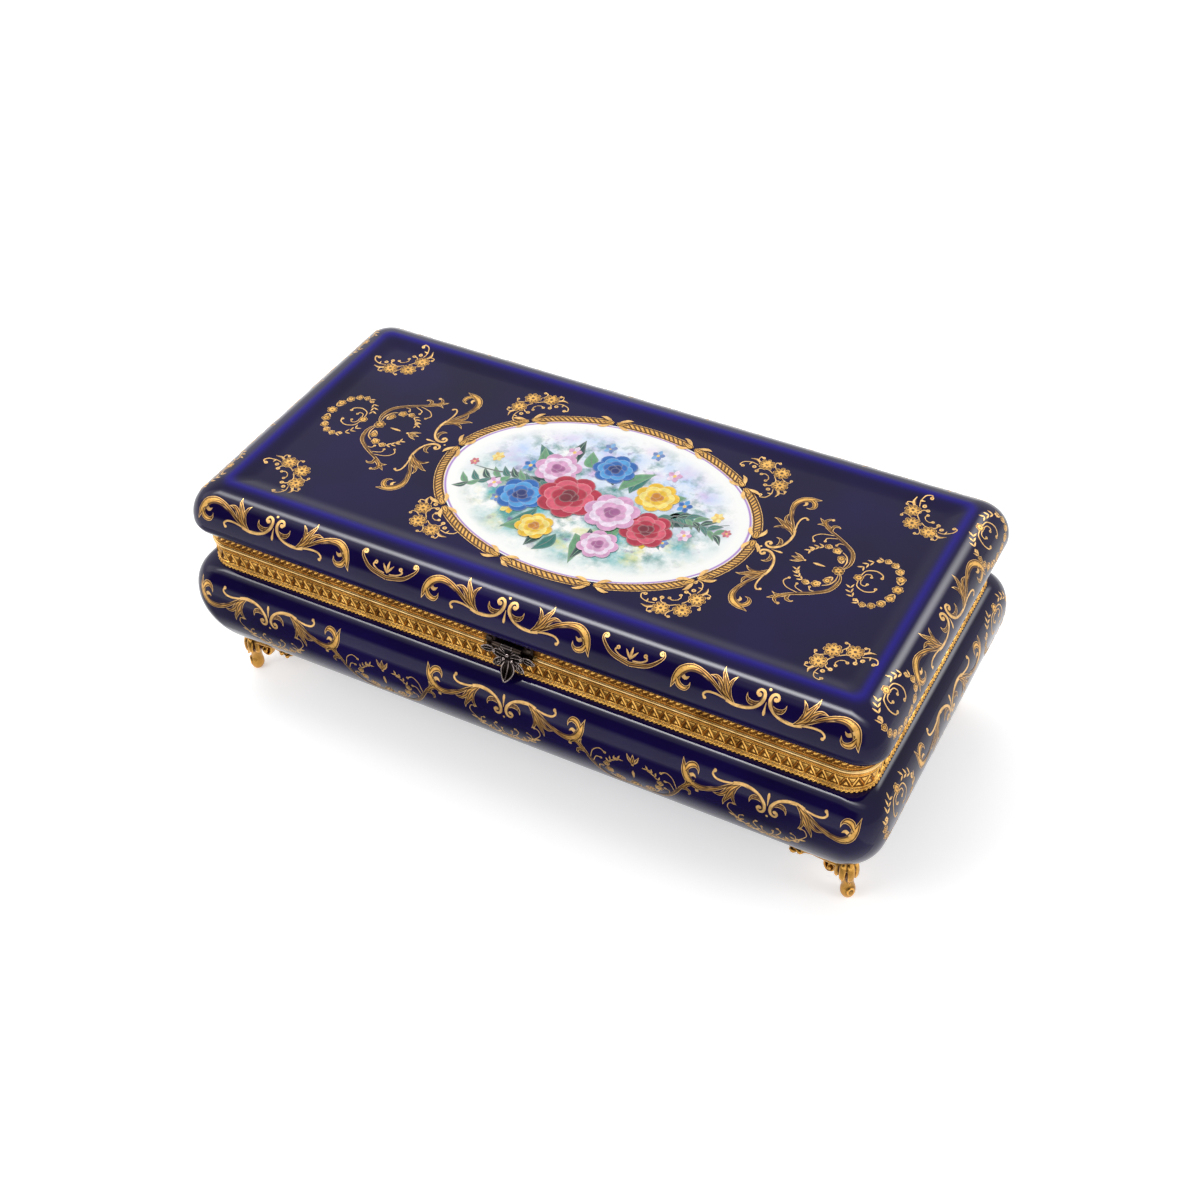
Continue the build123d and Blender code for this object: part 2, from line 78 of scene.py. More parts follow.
camera = add_object("camera", bpy.data.cameras.new("camera"))
camera.data.sensor_width = camera_sensor
camera.data.lens = camera_lens
level_away = math.cos(camera_up)
towards_camera = Vector(
    (math.sin(camera_round) * level_away, -math.cos(camera_round) * level_away,
     math.sin(camera_up))
)
level_right = Vector((0, 0, 1)).cross(towards_camera).normalized()
level_up = towards_camera.cross(level_right)
right = math.cos(camera_roll) * level_right + math.sin(camera_roll) * level_up
upwards = math.cos(camera_roll) * level_up - math.sin(camera_roll) * level_right
turn = Matrix((right, upwards, towards_camera)).transposed().to_4x4()
camera.matrix_world = Matrix.Translation(camera_target + camera_distance * towards_camera) @ turn
bpy.context.scene.camera = camera

# Studio
# A white table under a white surround, three soft lamps, and cards that only the gloss sees:
# a wide glow and a bright tube overhead, a glow behind the right end, a dark card standing in
# front, and a small dark one on the table by the base, a painted shadow of the table that the
# glaze mirrors. The table keeps the shadow.
bpy.context.scene.view_settings.view_transform = "Standard"
surround_level, surround_seen = 0.6, 1.0
table_glow = 0.42
lamp_target = Vector((0, 0, 0.05))
over_the_front = (0, -0.07, 0.1)
WHITE, BLACK = (1, 1, 1), (0, 0, 0)


def wire(node, **inputs):
    """Puts a value, a colour or a link on each named input of a node."""
    for name, source in inputs.items():
        target = node.inputs[name.replace("_", " ")]
        if isinstance(source, bpy.types.NodeSocket):
            node.id_data.links.new(source, target)
        else:
            target.default_value = (*source, 1) if target.type == "RGBA" else source


def add_node(tree, kind, **inputs):
    """A shader node of that kind, with its named inputs wired."""
    made = tree.nodes.new("ShaderNode" + kind)
    wire(made, **inputs)
    return made


def maths(tree, operation, *sources):
    """The result of a sum on sockets or numbers."""
    made = add_node(tree, "Math")
    made.operation = operation
    for source, target in zip(sources, made.inputs):
        if isinstance(source, bpy.types.NodeSocket):
            tree.links.new(source, target)
        else:
            target.default_value = source
    return made.outputs[0]


def ranged(tree, value, source=(0, 1), result=(0, 1), soft=False):
    """A value carried from one range to another, with soft ends if asked."""
    made = add_node(
        tree, "MapRange", Value=value, From_Min=source[0], From_Max=source[1],
        To_Min=result[0], To_Max=result[1],
    )
    if soft:
        made.interpolation_type = "SMOOTHSTEP"
    return made.outputs[0]


def uv_place(tree, name):
    """The place on a UV map."""
    made = add_node(tree, "UVMap")
    made.uv_map = name
    return made.outputs["UV"]


def new_finish(name, colour, roughness, metallic=0.0):
    """A material with one Principled shader, and that shader and its node tree."""
    material = bpy.data.materials.new(name)
    material.use_nodes = True
    shader = material.node_tree.nodes["Principled BSDF"]
    wire(shader, Base_Color=colour, Roughness=roughness, Metallic=metallic)
    return material, material.node_tree, shader


def seen_mask(tree):
    """One for rays from the camera, from gloss and through glass, nought for the others."""
    path = add_node(tree, "LightPath")
    total = path.outputs["Is Camera Ray"]
    for kind in ("Is Glossy Ray", "Is Transmission Ray"):
        total = maths(tree, "MAXIMUM", total, path.outputs[kind])
    return total


world = bpy.data.worlds.new("studio")
bpy.context.scene.world = world
world.use_nodes = True
tree = world.node_tree
strength = ranged(tree, seen_mask(tree), result=(surround_level, surround_seen))
wire(tree.nodes["Background"], Color=WHITE, Strength=strength)

bpy.ops.mesh.primitive_plane_add(size=6, location=(0, 0, 0))
table = bpy.context.object
table.name = "table"
table_finish, tree, shader = new_finish("white_table", (0.86, 0.86, 0.86), 0.9)
glow = maths(tree, "MULTIPLY", seen_mask(tree), table_glow)
wire(shader, Specular_IOR_Level=0.1, Emission_Color=WHITE, Emission_Strength=glow)
table.data.materials.append(table_finish)
table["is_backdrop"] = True


def gloss_card(name, place, width, depth, aim_at, level, rim, fade_over):
    """A card that only gloss sees, along X, of one level that fades to another at its rim."""
    forward = (Vector(aim_at) - Vector(place)).normalized()
    along = (Vector((1, 0, 0)) - forward * forward.x).normalized()
    facing = Matrix((along, along.cross(forward), forward)).transposed().to_4x4()
    turn = Matrix.Translation(place) @ facing
    ways = ((-1, -1), (1, -1), (1, 1), (-1, 1))
    corners = [turn @ Vector((x * width / 2, y * depth / 2, 0)) for x, y in ways]
    data = bpy.data.meshes.new(name)
    data.from_pydata(corners, [], [(0, 1, 2, 3)])
    for loop, way in zip(data.uv_layers.new(name="across").data, ways):
        loop.uv = way
    finish, tree, shader = new_finish(name, BLACK, 1.0)
    split = add_node(tree, "SeparateXYZ", Vector=uv_place(tree, "across"))
    fades = [
        ranged(tree, maths(tree, "ABSOLUTE", split.outputs[axis]), (1, 1 - fade_over), soft=True)
        for axis in ("X", "Y")
    ]
    glow = ranged(tree, maths(tree, "MULTIPLY", *fades), result=(rim, level))
    wire(shader, Specular_IOR_Level=0, Emission_Color=WHITE, Emission_Strength=glow)
    data.materials.append(finish)
    card = add_object(name, data)
    card.visible_camera = card.visible_diffuse = card.visible_shadow = False
    card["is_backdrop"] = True


gloss_card("overhead_glow", (-0.8, -0.5, 2.1), 8.0, 1.2, over_the_front, 2.2, 1.0, 0.5)
gloss_card("overhead_tube", (-0.3, -0.29, 1.36), 2.4, 0.36, over_the_front, 30.0, 2.2, 1.0)
# A dark card on the table by the base: a painted shadow, so the glaze mirrors the table darker next
# to the base.
gloss_card("painted_table_shadow", (-0.03, -0.125, 0.001), 0.46, 0.1, (-0.03, -0.125, -1), 0.1, 0.8, 0.5)
gloss_card("side_glow", (0.62, 0.95, 1.0), 0.5, 0.9, (0.15, 0, 0.1), 13.0, 1.0, 1.0)
gloss_card("dark_card", (-0.2, -0.86, 0.51), 2.4, 0.96, (0, -0.08, 0.08), 0.08, 0.85, 0.4)

for lamp_name, place, width, depth, energy in (
    ("overhead_lamp", (-0.5, 0.42, 1.25), 1.5, 0.32, 9.0),
    ("front_lamp", (-0.9, -1.1, 1.0), 0.9, 0.9, 9.0),
    ("right_lamp", (1.3, 0.1, 0.8), 0.6, 0.9, 5.0),
):
    lamp = add_object(lamp_name, bpy.data.lights.new(lamp_name, "AREA"))
    lamp.data.shape = "RECTANGLE"
    lamp.data.size, lamp.data.size_y, lamp.data.energy = width, depth, energy
    aim = (lamp_target - Vector(place)).to_track_quat("-Z", "Y")
    lamp.matrix_world = Matrix.Translation(place) @ aim.to_matrix().to_4x4()
    lamp.visible_glossy = False

# Base shell
# Slip-cast porcelain with bulging sides, a flat underside and a lip for the gilt channel. It
# is dipped in cobalt glaze outside and clear glaze inside. The sizes are in millimetres, and
# an offset is a distance outwards from the ridge rectangle of the lid.
ridge_x, ridge_y = 146.0, 64.2
corner_steps = 20
base_widest = 18.6
base_shoulder = ((9.6, 71.2), (15.0, 69.7), (base_widest, 65.2), (base_widest, 54.5))
base_roll = ((base_widest, 54.5), (base_widest, 40.7), (10.0, 24.2), (0.0, 24.2))
base_hollow = (
    (3.0, 71.2), (8.6, 66.8), (12.4, 62.0), (13.6, 54.5), (12.4, 44.7), (8.4, 36.0),
    (2.0, 30.7), (-6.0, 29.2),
)
hollow_corners = (5.0, 9.0)
lip_out, lip_in = 7.6, 3.0
base_lip_top = 79.9
mount_corner = 2.4
ridge_line, ridge_spread, ridge_thinness = -0.4, 1.9, 0.36


def bezier(curve, steps):
    """Points along a cubic curve, without its last point."""
    points = []
    for step in range(steps):
        t = step / steps
        weights = ((1 - t) ** 3, 3 * (1 - t) ** 2 * t, 3 * (1 - t) * t**2, t**3)
        points.append(tuple(sum(w * p[i] for w, p in zip(weights, curve)) for i in (0, 1)))
    return points


def flow(points, spacing, dimensions=2):
    """A smooth line through points of two or more values, with a stop about every spacing."""
    ends = [points[0], *points, points[-1]]
    stops = []
    for four in zip(ends, ends[1:], ends[2:], ends[3:]):
        steps = max(2, math.ceil(math.dist(four[1][:dimensions], four[2][:dimensions]) / spacing))
        for t in (step / steps for step in range(steps)):
            weights = (
                -t / 2 + t**2 - t**3 / 2, 1 - 2.5 * t**2 + 1.5 * t**3,
                t / 2 + 2 * t**2 - 1.5 * t**3, (t**3 - t**2) / 2,
            )
            stops.append(tuple(sum(w * v for w, v in zip(weights, vs)) for vs in zip(*four)))
    return stops + [tuple(points[-1])]


def corner_rule(corners, widest, within=0.0):
    """How the corner radius of a body goes with the offset, outside and within the ridge."""
    growth = (corners[1] - corners[0]) / widest
    return lambda offset: corners[0] + growth * max(offset, 0) + within * min(offset, 0)


def level(offset, height, radius):
    """A rounded rectangle round the casket, anticlockwise from above, in metres."""
    half_x, half_y = ridge_x + offset, ridge_y + offset
    points = []
    for quarter, (side_x, side_y) in enumerate(((1, 1), (-1, 1), (-1, -1), (1, -1))):
        for step in range(corner_steps + 1):
            angle = math.pi / 2 * (quarter + step / corner_steps)
            x = side_x * (half_x - radius) + radius * math.cos(angle)
            y = side_y * (half_y - radius) + radius * math.sin(angle)
            points.append(Vector((x, y, height)) * MM)
    return points


def new_piece(name, vertices, faces):
    """A mesh object at the origin, from vertices and faces."""
    mesh = bpy.data.meshes.new(name)
    mesh.from_pydata(vertices, [], faces)
    mesh.update()
    return add_object(name, mesh)


def mark(piece, title, values):
    """Keeps one number for each point of a piece."""
    piece.data.attributes.new(title, "FLOAT", "POINT").data.foreach_set(
        "value", [float(value) for value in values]
    )


def ring_faces(rings, count):
    """The faces between rings of count points, each ring after the one before."""
    return [
        (row + i, row + (i + 1) % count, row + count + (i + 1) % count, row + count + i)
        for row in range(0, (rings - 1) * count, count)
        for i in range(count)
    ]


def ends_of(rings, count):
    """The two faces that close a run of rings."""
    return [tuple(range(count)), tuple(range((rings - 1) * count, rings * count))]


def turn_outwards(piece):
    """Points every face of a closed piece outwards."""
    shape = bmesh.new()
    shape.from_mesh(piece.data)
    bmesh.ops.recalc_face_normals(shape, faces=shape.faces)
    shape.to_mesh(piece.data)
    shape.free()


def smooth(piece, angle=35):
    """Smooth shading, with edges sharper than the angle kept."""
    bpy.ops.object.select_all(action="DESELECT")
    bpy.context.view_layer.objects.active = piece
    piece.select_set(True)
    bpy.ops.object.shade_smooth_by_angle(angle=math.radians(angle))
    piece.select_set(False)


def new_group(name, inputs, outputs):
    """A node group with number inputs and the named outputs, its two end nodes and a place."""
    group = bpy.data.node_groups.new(name, "ShaderNodeTree")
    for socket, value in inputs.items():
        made = group.interface.new_socket(socket, in_out="INPUT", socket_type="NodeSocketFloat")
        made.default_value = value
    for socket, kind in outputs.items():
        group.interface.new_socket(socket, in_out="OUTPUT", socket_type="NodeSocket" + kind)
    start, end = group.nodes.new("NodeGroupInput"), group.nodes.new("NodeGroupOutput")
    return group, start.outputs, end, add_node(group, "TexCoord").outputs["Object"]


def place_group(tree, group, **inputs):
    """The outputs of one use of a node group in a material."""
    made = tree.nodes.new("ShaderNodeGroup")
    made.node_tree = group
    wire(made, **inputs)
    return made.outputs


def noise(tree, where, scale, detail, roughness=0.5):
    """A soft random pattern, from nought to one."""
    made = add_node(
        tree, "TexNoise", Vector=where, Scale=scale, Detail=detail, Roughness=roughness
    )
    return made.outputs["Fac"]


def attribute(tree, name):
    """The numbers that the points of a piece keep under a name."""
    made = add_node(tree, "Attribute")
    made.attribute_name = name
    return made.outputs["Fac"]


def ramp(tree, value, *stops, interpolation="LINEAR"):
    """A colour that follows a value through (place, colour) stops."""
    made = add_node(tree, "ValToRGB", Fac=value)
    made.color_ramp.interpolation = interpolation
    while len(made.color_ramp.elements) < len(stops):
        made.color_ramp.elements.new(0.5)
    for element, (place, colour) in zip(made.color_ramp.elements, stops):
        element.position = place
        element.color = (*colour, 1)
    return made.outputs["Color"]


def mix_colours(tree, share, first, second, blend="MIX"):
    """A colour mix of two sockets or plain colours, by a share."""
    made = add_node(tree, "Mix")
    made.data_type = "RGBA"
    made.blend_type = blend
    for socket, source in ((0, share), (6, first), (7, second)):
        if isinstance(source, bpy.types.NodeSocket):
            tree.links.new(source, made.inputs[socket])
        else:
            made.inputs[socket].default_value = source if socket == 0 else (*source, 1)
    return made.outputs[2]


# Fired glaze is very slightly wavy, and its colour pools in soft clouds
glaze_skin, given, end, where = new_group(
    "glaze_skin", {"Wave": 0.3, "Cloud": 18.0}, {"Cloud": "Float", "Normal": "Vector"}
)
wave = noise(glaze_skin, where, 55.0, 1.0)
bump = add_node(glaze_skin, "Bump", Strength=given["Wave"], Distance=0.0004, Height=wave)
wire(end, Cloud=noise(glaze_skin, where, given["Cloud"], 3.0), Normal=bump.outputs["Normal"])

cobalt_finish, tree, shader = new_finish("cobalt_glaze", (0.006, 0.003, 0.05), 0.05)
skin = place_group(tree, glaze_skin, Wave=0.12)
pooled = ramp(tree, skin["Cloud"], (0.3, (0.0035, 0.0013, 0.024)), (0.75, (0.007, 0.003, 0.052)))
cobalt = mix_colours(tree, attribute(tree, "thin_glaze"), pooled, (0.016, 0.005, 0.42))
wire(shader, Specular_IOR_Level=0.2, Base_Color=cobalt, Normal=skin["Normal"])


def skinned(name, colour, roughness, group, stops, **inputs):
    """A plain finish whose colour follows the clouds of a skin, which also gives its relief."""
    material, tree, shader = new_finish(name, colour, roughness)
    skin = place_group(tree, group, **inputs)
    wire(shader, Base_Color=ramp(tree, skin[0], *stops), Normal=skin["Normal"])
    return material


inside_finish = skinned(
    "white_glaze", (0.84, 0.84, 0.82), 0.12, glaze_skin,
    ((0.3, (0.78, 0.78, 0.75)), (0.75, (0.86, 0.86, 0.85))), Wave=0.25,
)


def shell(name, profile, corner, lip_edge, hollow, widest):
    """A glazed shell from its outer profile, the lip for a channel and the hollow inside."""
    root = profile[-1][1]
    lip = ((lip_out, root), (lip_out, lip_edge), (lip_in, lip_edge), (lip_in, root))
    levels = [level(offset, height, corner(offset)) for offset, height in profile]
    levels += [level(offset, height, mount_corner + offset) for offset, height in lip]
    inside_from = len(levels) - 2
    hollow_corner = corner_rule(hollow_corners, widest)
    for offset, height in flow(hollow, 2.0)[1:]:
        levels.append(level(offset, height, hollow_corner(offset)))
    count = len(levels[0])
    piece = new_piece(
        name, [point for points in levels for point in points],
        ring_faces(len(levels), count) + ends_of(len(levels), count),
    )
    turn_outwards(piece)
    piece.data.materials.append(cobalt_finish)
    piece.data.materials.append(inside_finish)
    for face in piece.data.polygons:
        if min(face.vertices) >= inside_from * count:
            face.material_index = 1
    thinness = [thin_at(*place) for place in profile for _ in range(count)]
    mark(piece, "thin_glaze", thinness + [0] * ((len(levels) - len(profile)) * count))
    smooth(piece)
    return piece


def thin_at(offset, height):
    """How thin the cobalt runs: most on the ridge round the top of the lid."""
    if height < 100:
        return 0
    return ridge_thinness * math.exp(-(((offset - ridge_line) / ridge_spread) ** 2))


base_corner = corner_rule((9.0, 14.0), base_widest)
base_outside = bezier(base_shoulder, 22) + bezier(base_roll, 30) + [base_roll[-1]]
base_porcelain = shell(
    "base_porcelain", base_outside[::-1], base_corner, base_lip_top, base_hollow, base_widest
)
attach(base_porcelain, "base")
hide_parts("base_shell")

# Gilding of the base
# Gold pencilled and printed on the fired glaze, then fired again, so it stands a hair proud:
# leaf scrolls, swags and wreaths, outlined and veined in brown. A drawing is a list of flat
# shapes in millimetres, across and up, that is laid on the wall of a body.
GOLD, BROWN = 0, 1
gold_lift, gold_crown, brown_lift = 0.02, 0.05, 0.09
layer_lift, layers = 0.0015, 24
thin_stroke, broad_stroke, broad_spot = 0.2, 0.95, 1.3
stroke_spacing = 0.6
gold_share, panel_gold_share, brown_share = 0.84, 0.78, 1.6


def around(middle, angle, reach_u, reach_v=None):
    """A point on a circle or an oval round a middle."""
    reach_v = reach_u if reach_v is None else reach_v
    return middle[0] + reach_u * math.cos(angle), middle[1] + reach_v * math.sin(angle)


def turned_by(angle, a, b):
    """A flat step, turned by an angle."""
    return a * math.cos(angle) - b * math.sin(angle), a * math.sin(angle) + b * math.cos(angle)


def stroke(*points, tone=GOLD):
    """A brush stroke through (across, up, half width) points. Thin ones are plain gold."""
    broad = max(point[2] for point in points) >= broad_stroke
    stops = flow(points, stroke_spacing)
    vertices, faces = [], []
    for i, (u, v, half) in enumerate(stops):
        before, after = stops[max(i - 1, 0)], stops[min(i + 1, len(stops) - 1)]
        run = (after[0] - before[0], after[1] - before[1])
        length = math.hypot(*run) or 1
        side = (-run[1] / length * half, run[0] / length * half)
        edge = half if broad else min(half, thin_stroke)
        vertices += [(u + side[0], v + side[1], 0), (u, v, edge), (u - side[0], v - side[1], 0)]
        if i:
            a = 3 * i - 3
            faces += [(a, a + 1, a + 4, a + 3), (a + 1, a + 2, a + 5, a + 4)]
    return vertices, faces, tone


def vein(half, *points, tip=0.03):
    """A fine brown line through (across, up) points, that thins out at both ends."""
    widths = [tip] + [half] * (len(points) - 2) + [tip]
    return stroke(*((u, v, wide) for (u, v), wide in zip(points, widths)), tone=BROWN)


def spot(u, v, radius, petals=0, turn=0.0, tone=GOLD, sides=12):
    """A dot, or a scalloped disc with that many petals."""
    count = 6 * petals if petals else sides
    vertices = [(u, v, radius if radius > broad_spot else min(radius, thin_stroke))]
    for i in range(count):
        angle = 2 * math.pi * i / count
        reach = radius
        if petals:
            reach *= 0.74 + 0.26 * abs(math.cos(petals * angle / 2)) ** 0.6
        vertices.append((*around((u, v), angle + turn, reach), 0))
    return vertices, [(0, i + 1, (i + 1) % count + 1) for i in range(count)], tone


def brown_dot(u, v, radius, sides=6):
    """A small brown dot."""
    return spot(u, v, radius, tone=BROWN, sides=sides)


def flower(u, v, radius, petals=8, turn=0.0):
    """A flower from above, with a brown eye, and a brown mark on each petal of a large one."""
    shapes = [spot(u, v, radius, petals, turn)]
    if radius > 2.4:
        for i in range(petals):
            angle = turn + 2 * math.pi * i / petals
            marks = [
                (*around((u, v), angle, radius * reach), wide)
                for reach, wide in ((0.44, 0.04), (0.6, 0.3), (0.76, 0.04))
            ]
            shapes.append(stroke(*marks, tone=BROWN))
    return shapes + [brown_dot(u, v, 0.24 * radius, 8)]


def leaf(u, v, angle, length, half):
    """A pointed leaf that starts at (u, v)."""
    middle, tip = (around((u, v), angle, share * length) for share in (0.45, 1))
    return stroke((u, v, 0.1 * half), (*middle, half), (*tip, 0.02))


def curl(*path, half=0.3, ball=0.8):
    """A thin tendril that ends in a round ball, from (across, up) points."""
    points = [(u, v, half * (0.6 + 0.4 * i / len(path))) for i, (u, v) in enumerate(path)]
    return [stroke(*points), spot(*path[-1], ball), brown_dot(*path[-1], 0.28 * ball)]


def mirrored(shapes):
    """The shapes with their mirror image to the left of them."""
    return shapes + placed(shapes, flip=True)


def placed(shapes, u=0.0, v=0.0, turn=0.0, flip=False, drop=False, wide=1.0, tall=1.0):
    """The shapes scaled, flipped, turned by an angle in degrees and moved to (u, v)."""
    angle = math.radians(turn)
    scale_u, scale_v = (-wide if flip else wide), (-tall if drop else tall)
    moved = []
    for vertices, faces, tone in shapes:
        points = []
        for a, b, edge in vertices:
            a, b = turned_by(angle, a * scale_u, b * scale_v)
            points.append((u + a, v + b, edge))
        if flip != drop:
            faces = [tuple(reversed(face)) for face in faces]
        moved.append((points, faces, tone))
    return moved


def finer(shapes, share):
    """The shapes with the gold drawn thinner and the brown veins drawn stronger."""
    thinned = []
    for vertices, faces, tone in shapes:
        vertices = list(vertices)
        if len(faces[0]) == 4:
            wide = share if tone == GOLD else brown_share
            for i in range(1, len(vertices), 3):
                u, v, edge = vertices[i]
                for k in (i - 1, i + 1):
                    a, b, rim = vertices[k]
                    vertices[k] = (u + (a - u) * wide, v + (b - v) * wide, rim)
                vertices[i] = (u, v, edge * wide)
        elif vertices[0][2] < 1.4:
            u, v, _ = vertices[0]
            vertices = [(u + (a - u) * share, v + (b - v) * share, e) for a, b, e in vertices]
        thinned.append((vertices, faces, tone))
    return thinned


# Leaf scroll: two volutes back to back, each running out to a tulip leaf and a hooked leaf
half_scroll = [
    stroke((3.3, 8.9, 0.75), (4.4, 9.8, 0.6), (3.5, 11.3, 0.6), (1.9, 10.9, 0.7),
           (1.15, 9.0, 0.75), (1.8, 6.6, 0.85), (4.1, 4.3, 0.9), (7.4, 2.8, 0.85),
           (11.7, 2.3, 0.8), (15.5, 3.0, 0.7)),
    spot(3.3, 9.3, 1.0),
    stroke((2.3, 6.9, 0.3), (4.2, 5.6, 1.0), (6.3, 5.6, 1.15), (7.7, 6.9, 0.6), (8.0, 8.7, 0.05)),
    stroke((15.2, 3.2, 0.4), (18.6, 5.6, 0.75), (22.6, 8.2, 1.0), (27.0, 10.1, 1.3),
           (31.8, 10.6, 1.75), (35.4, 8.6, 2.0), (37.2, 5.2, 1.7), (38.0, 2.2, 0.8),
           (38.6, 0.1, 0.05)),
    stroke((37.0, 5.4, 1.0), (35.4, 2.5, 1.5), (33.0, 1.7, 1.3), (31.3, 3.0, 0.6),
           (31.0, 4.9, 0.05)),
    stroke((35.6, 7.4, 0.8), (33.4, 5.8, 0.9), (31.8, 6.9, 0.05)),
    stroke((12.2, 2.6, 0.5), (14.6, 4.6, 1.4), (16.2, 7.4, 1.9), (18.0, 10.8, 1.25),
           (19.2, 13.2, 0.7), (19.5, 15.4, 0.04)),
    stroke((13.2, 3.4, 0.5), (15.2, 6.2, 1.0), (15.4, 9.4, 0.95), (14.6, 11.6, 0.6),
           (13.4, 12.9, 0.04)),
    stroke((14.0, 3.6, 0.6), (17.0, 5.6, 1.2), (19.0, 8.6, 1.2), (21.4, 10.4, 0.9),
           (24.2, 10.3, 0.04)),
    stroke((15.0, 3.0, 0.3), (19.6, 3.9, 0.5), (23.2, 3.7, 0.5), (24.9, 2.3, 0.5),
           (24.4, 0.9, 0.5)),
    spot(24.2, 0.9, 0.85),
    stroke((24.0, 7.6, 0.03), (28.4, 9.3, 0.16), (32.4, 9.0, 0.2), (35.0, 6.2, 0.16),
           (35.4, 3.6, 0.03), tone=BROWN),
    vein(0.13, (19.4, 5.3), (24.0, 8.2), (29.0, 10.6), (33.4, 9.9)),
    vein(0.2, (13.4, 3.6), (16.4, 7.4), (18.6, 12.6)),
    vein(0.16, (14.0, 5.4), (15.0, 8.2), (14.5, 11.2)),
    vein(0.18, (16.6, 5.4), (19.6, 8.6), (22.6, 10.0)),
    vein(0.2, (3.2, 6.4), (5.6, 5.2), (7.2, 6.8)),
    vein(0.14, (2.5, 10.1), (2.0, 8.8), (2.7, 6.8), (5.0, 4.3), (10.0, 2.7)),
    brown_dot(33.2, 10.9, 0.22),
    brown_dot(34.4, 10.3, 0.22),
    brown_dot(36.0, 8.9, 0.2),
]
leaf_scroll = mirrored(half_scroll) + [
    spot(0, 12.4, 0.65),
    stroke((0, 7.4, 0.08), (0, 4.6, 0.45), (0, 3.0, 0.7), (0, 1.9, 0.3)),
]

# Swag: a hanging spray with two pairs of curls over it, under each leaf scroll of the base
swag_leaves = (
    (13.6, -0.4, 0.4, 3.4, 0.65), (12.2, -1.8, 2.6, 3.0, 0.6), (10.4, -3.4, 0.1, 3.6, 0.7),
    (9.2, -4.2, 2.2, 2.8, 0.6), (5.0, -6.2, 0.0, 3.2, 0.65), (5.4, -6.0, 2.4, 2.8, 0.6),
    (1.8, -6.9, -0.4, 2.8, 0.6),
)
swag = mirrored(
    curl((15.0, 1.6), (16.9, 4.6), (16.2, 7.6), (14.3, 8.2))
    + [stroke((15.2, 1.8, 0.3), (11.4, -2.6, 0.4), (6.2, -5.8, 0.45), (0.0, -7.0, 0.45))]
    + [leaf(*place) for place in swag_leaves]
    + flower(8.0, -4.9, 1.7, 5)
    + flower(13.0, -1.0, 1.3, 5)
    + curl((1.0, -6.2), (4.0, -3.4), (5.9, 0.2), (4.6, 2.0), half=0.34)
    + curl((0.6, -5.4), (2.3, -3.2), (2.4, -0.9), half=0.28, ball=0.7)
    + curl((12.4, -1.4), (12.0, 1.6), (10.4, 2.6), half=0.25, ball=0.65)
) + flower(0, -7.0, 1.9, 6)


def chain(reach_u, reach_v, flowers, leaf_angles, leaf_ways, leaf_length, turning=0):
    """Half a wreath: (degrees, radius, petals) flowers and pairs of leaves round an oval."""
    shapes = []
    for degrees, radius, petals in flowers:
        angle = math.radians(degrees)
        place = around((0, 0), angle, reach_u, reach_v)
        shapes += flower(*place, radius, petals, turning * angle)
    for angle in map(math.radians, leaf_angles):
        for way in leaf_ways:
            place = around((0, 0), angle, reach_u, reach_v)
            shapes.append(leaf(*place, angle + 1.57 + way, leaf_length, 0.5))
    return shapes


# Bracketed wreath: a flower wreath with a tulip and a dash, between two long leaf brackets
half_bracket = (
    [
        stroke((0.4, -8.6, 0.15), (3.6, -10.6, 0.6), (7.6, -11.0, 0.95), (12.7, -9.4, 0.95),
               (16.4, -5.3, 0.9), (19.5, -0.3, 0.8), (21.8, 4.1, 0.9), (24.8, 7.4, 1.2),
               (27.2, 8.0, 0.9), (28.9, 6.4, 0.45)),
        spot(28.7, 5.8, 0.95),
        stroke((20.8, 2.6, 0.3), (23.4, 5.4, 1.1), (24.2, 8.4, 0.8), (23.2, 10.8, 0.03)),
        stroke((22.6, 5.0, 0.4), (25.4, 8.4, 1.1), (27.6, 11.2, 0.04)),
        stroke((21.6, 3.6, 0.4), (24.6, 4.0, 1.0), (25.6, 2.0, 0.5), (24.8, 1.0, 0.3)),
        vein(0.16, (5.0, -9.7), (8.2, -9.9), (12.2, -8.6), (15.8, -4.8), (18.9, 0.2), (22.2, 5.0)),
        vein(0.18, (22.6, 4.8), (25.0, 6.9), (27.0, 7.4)),
        stroke((1.8, -9.0, 0.1), (6.0, -9.3, 0.35), (9.4, -8.0, 0.35), (11.2, -5.6, 0.2)),
    ]
    + curl((15.8, -5.6), (15.9, -2.4), (14.2, -1.6), half=0.35)
    + curl((18.6, -1.2), (16.8, 3.4), (14.6, 3.6), half=0.35)
    + curl((19.6, 1.4), (18.2, 6.8), (15.2, 9.2), (12.7, 7.8), half=0.35)
)
wreath_chain = chain(
    12.2, 8.2, ((-90, 2.6, 6), (-52, 1.8, 5), (-22, 2.0, 5), (8, 1.5, 5), (128, 1.0, 4)),
    (-68, -36, -6, 19, 32, 44, 56), (0.6, -0.6), 2.6,
)
bracket_wreath = mirrored(half_bracket + wreath_chain) + [
    stroke((0, -2.6, 0.05), (0, -0.8, 0.6), (0, 1.4, 0.7), (0, 2.9, 0.05)),
    stroke((0, 7.0, 0.6), (0, 9.0, 1.2), (0, 12.4, 0.05)),
    stroke((-0.3, 7.2, 0.5), (-1.6, 9.2, 0.9), (-2.8, 12.0, 0.04)),
    stroke((0.3, 7.2, 0.5), (1.6, 9.2, 0.9), (2.8, 12.0, 0.04)),
    vein(0.2, (0, 7.6), (0, 9.4), (0, 11.4)),
    vein(0.16, (-0.8, 7.8), (-1.7, 9.6), (-2.3, 11.2)),
    vein(0.16, (0.8, 7.8), (1.7, 9.6), (2.3, 11.2)),
    spot(0, 6.4, 0.7),
]

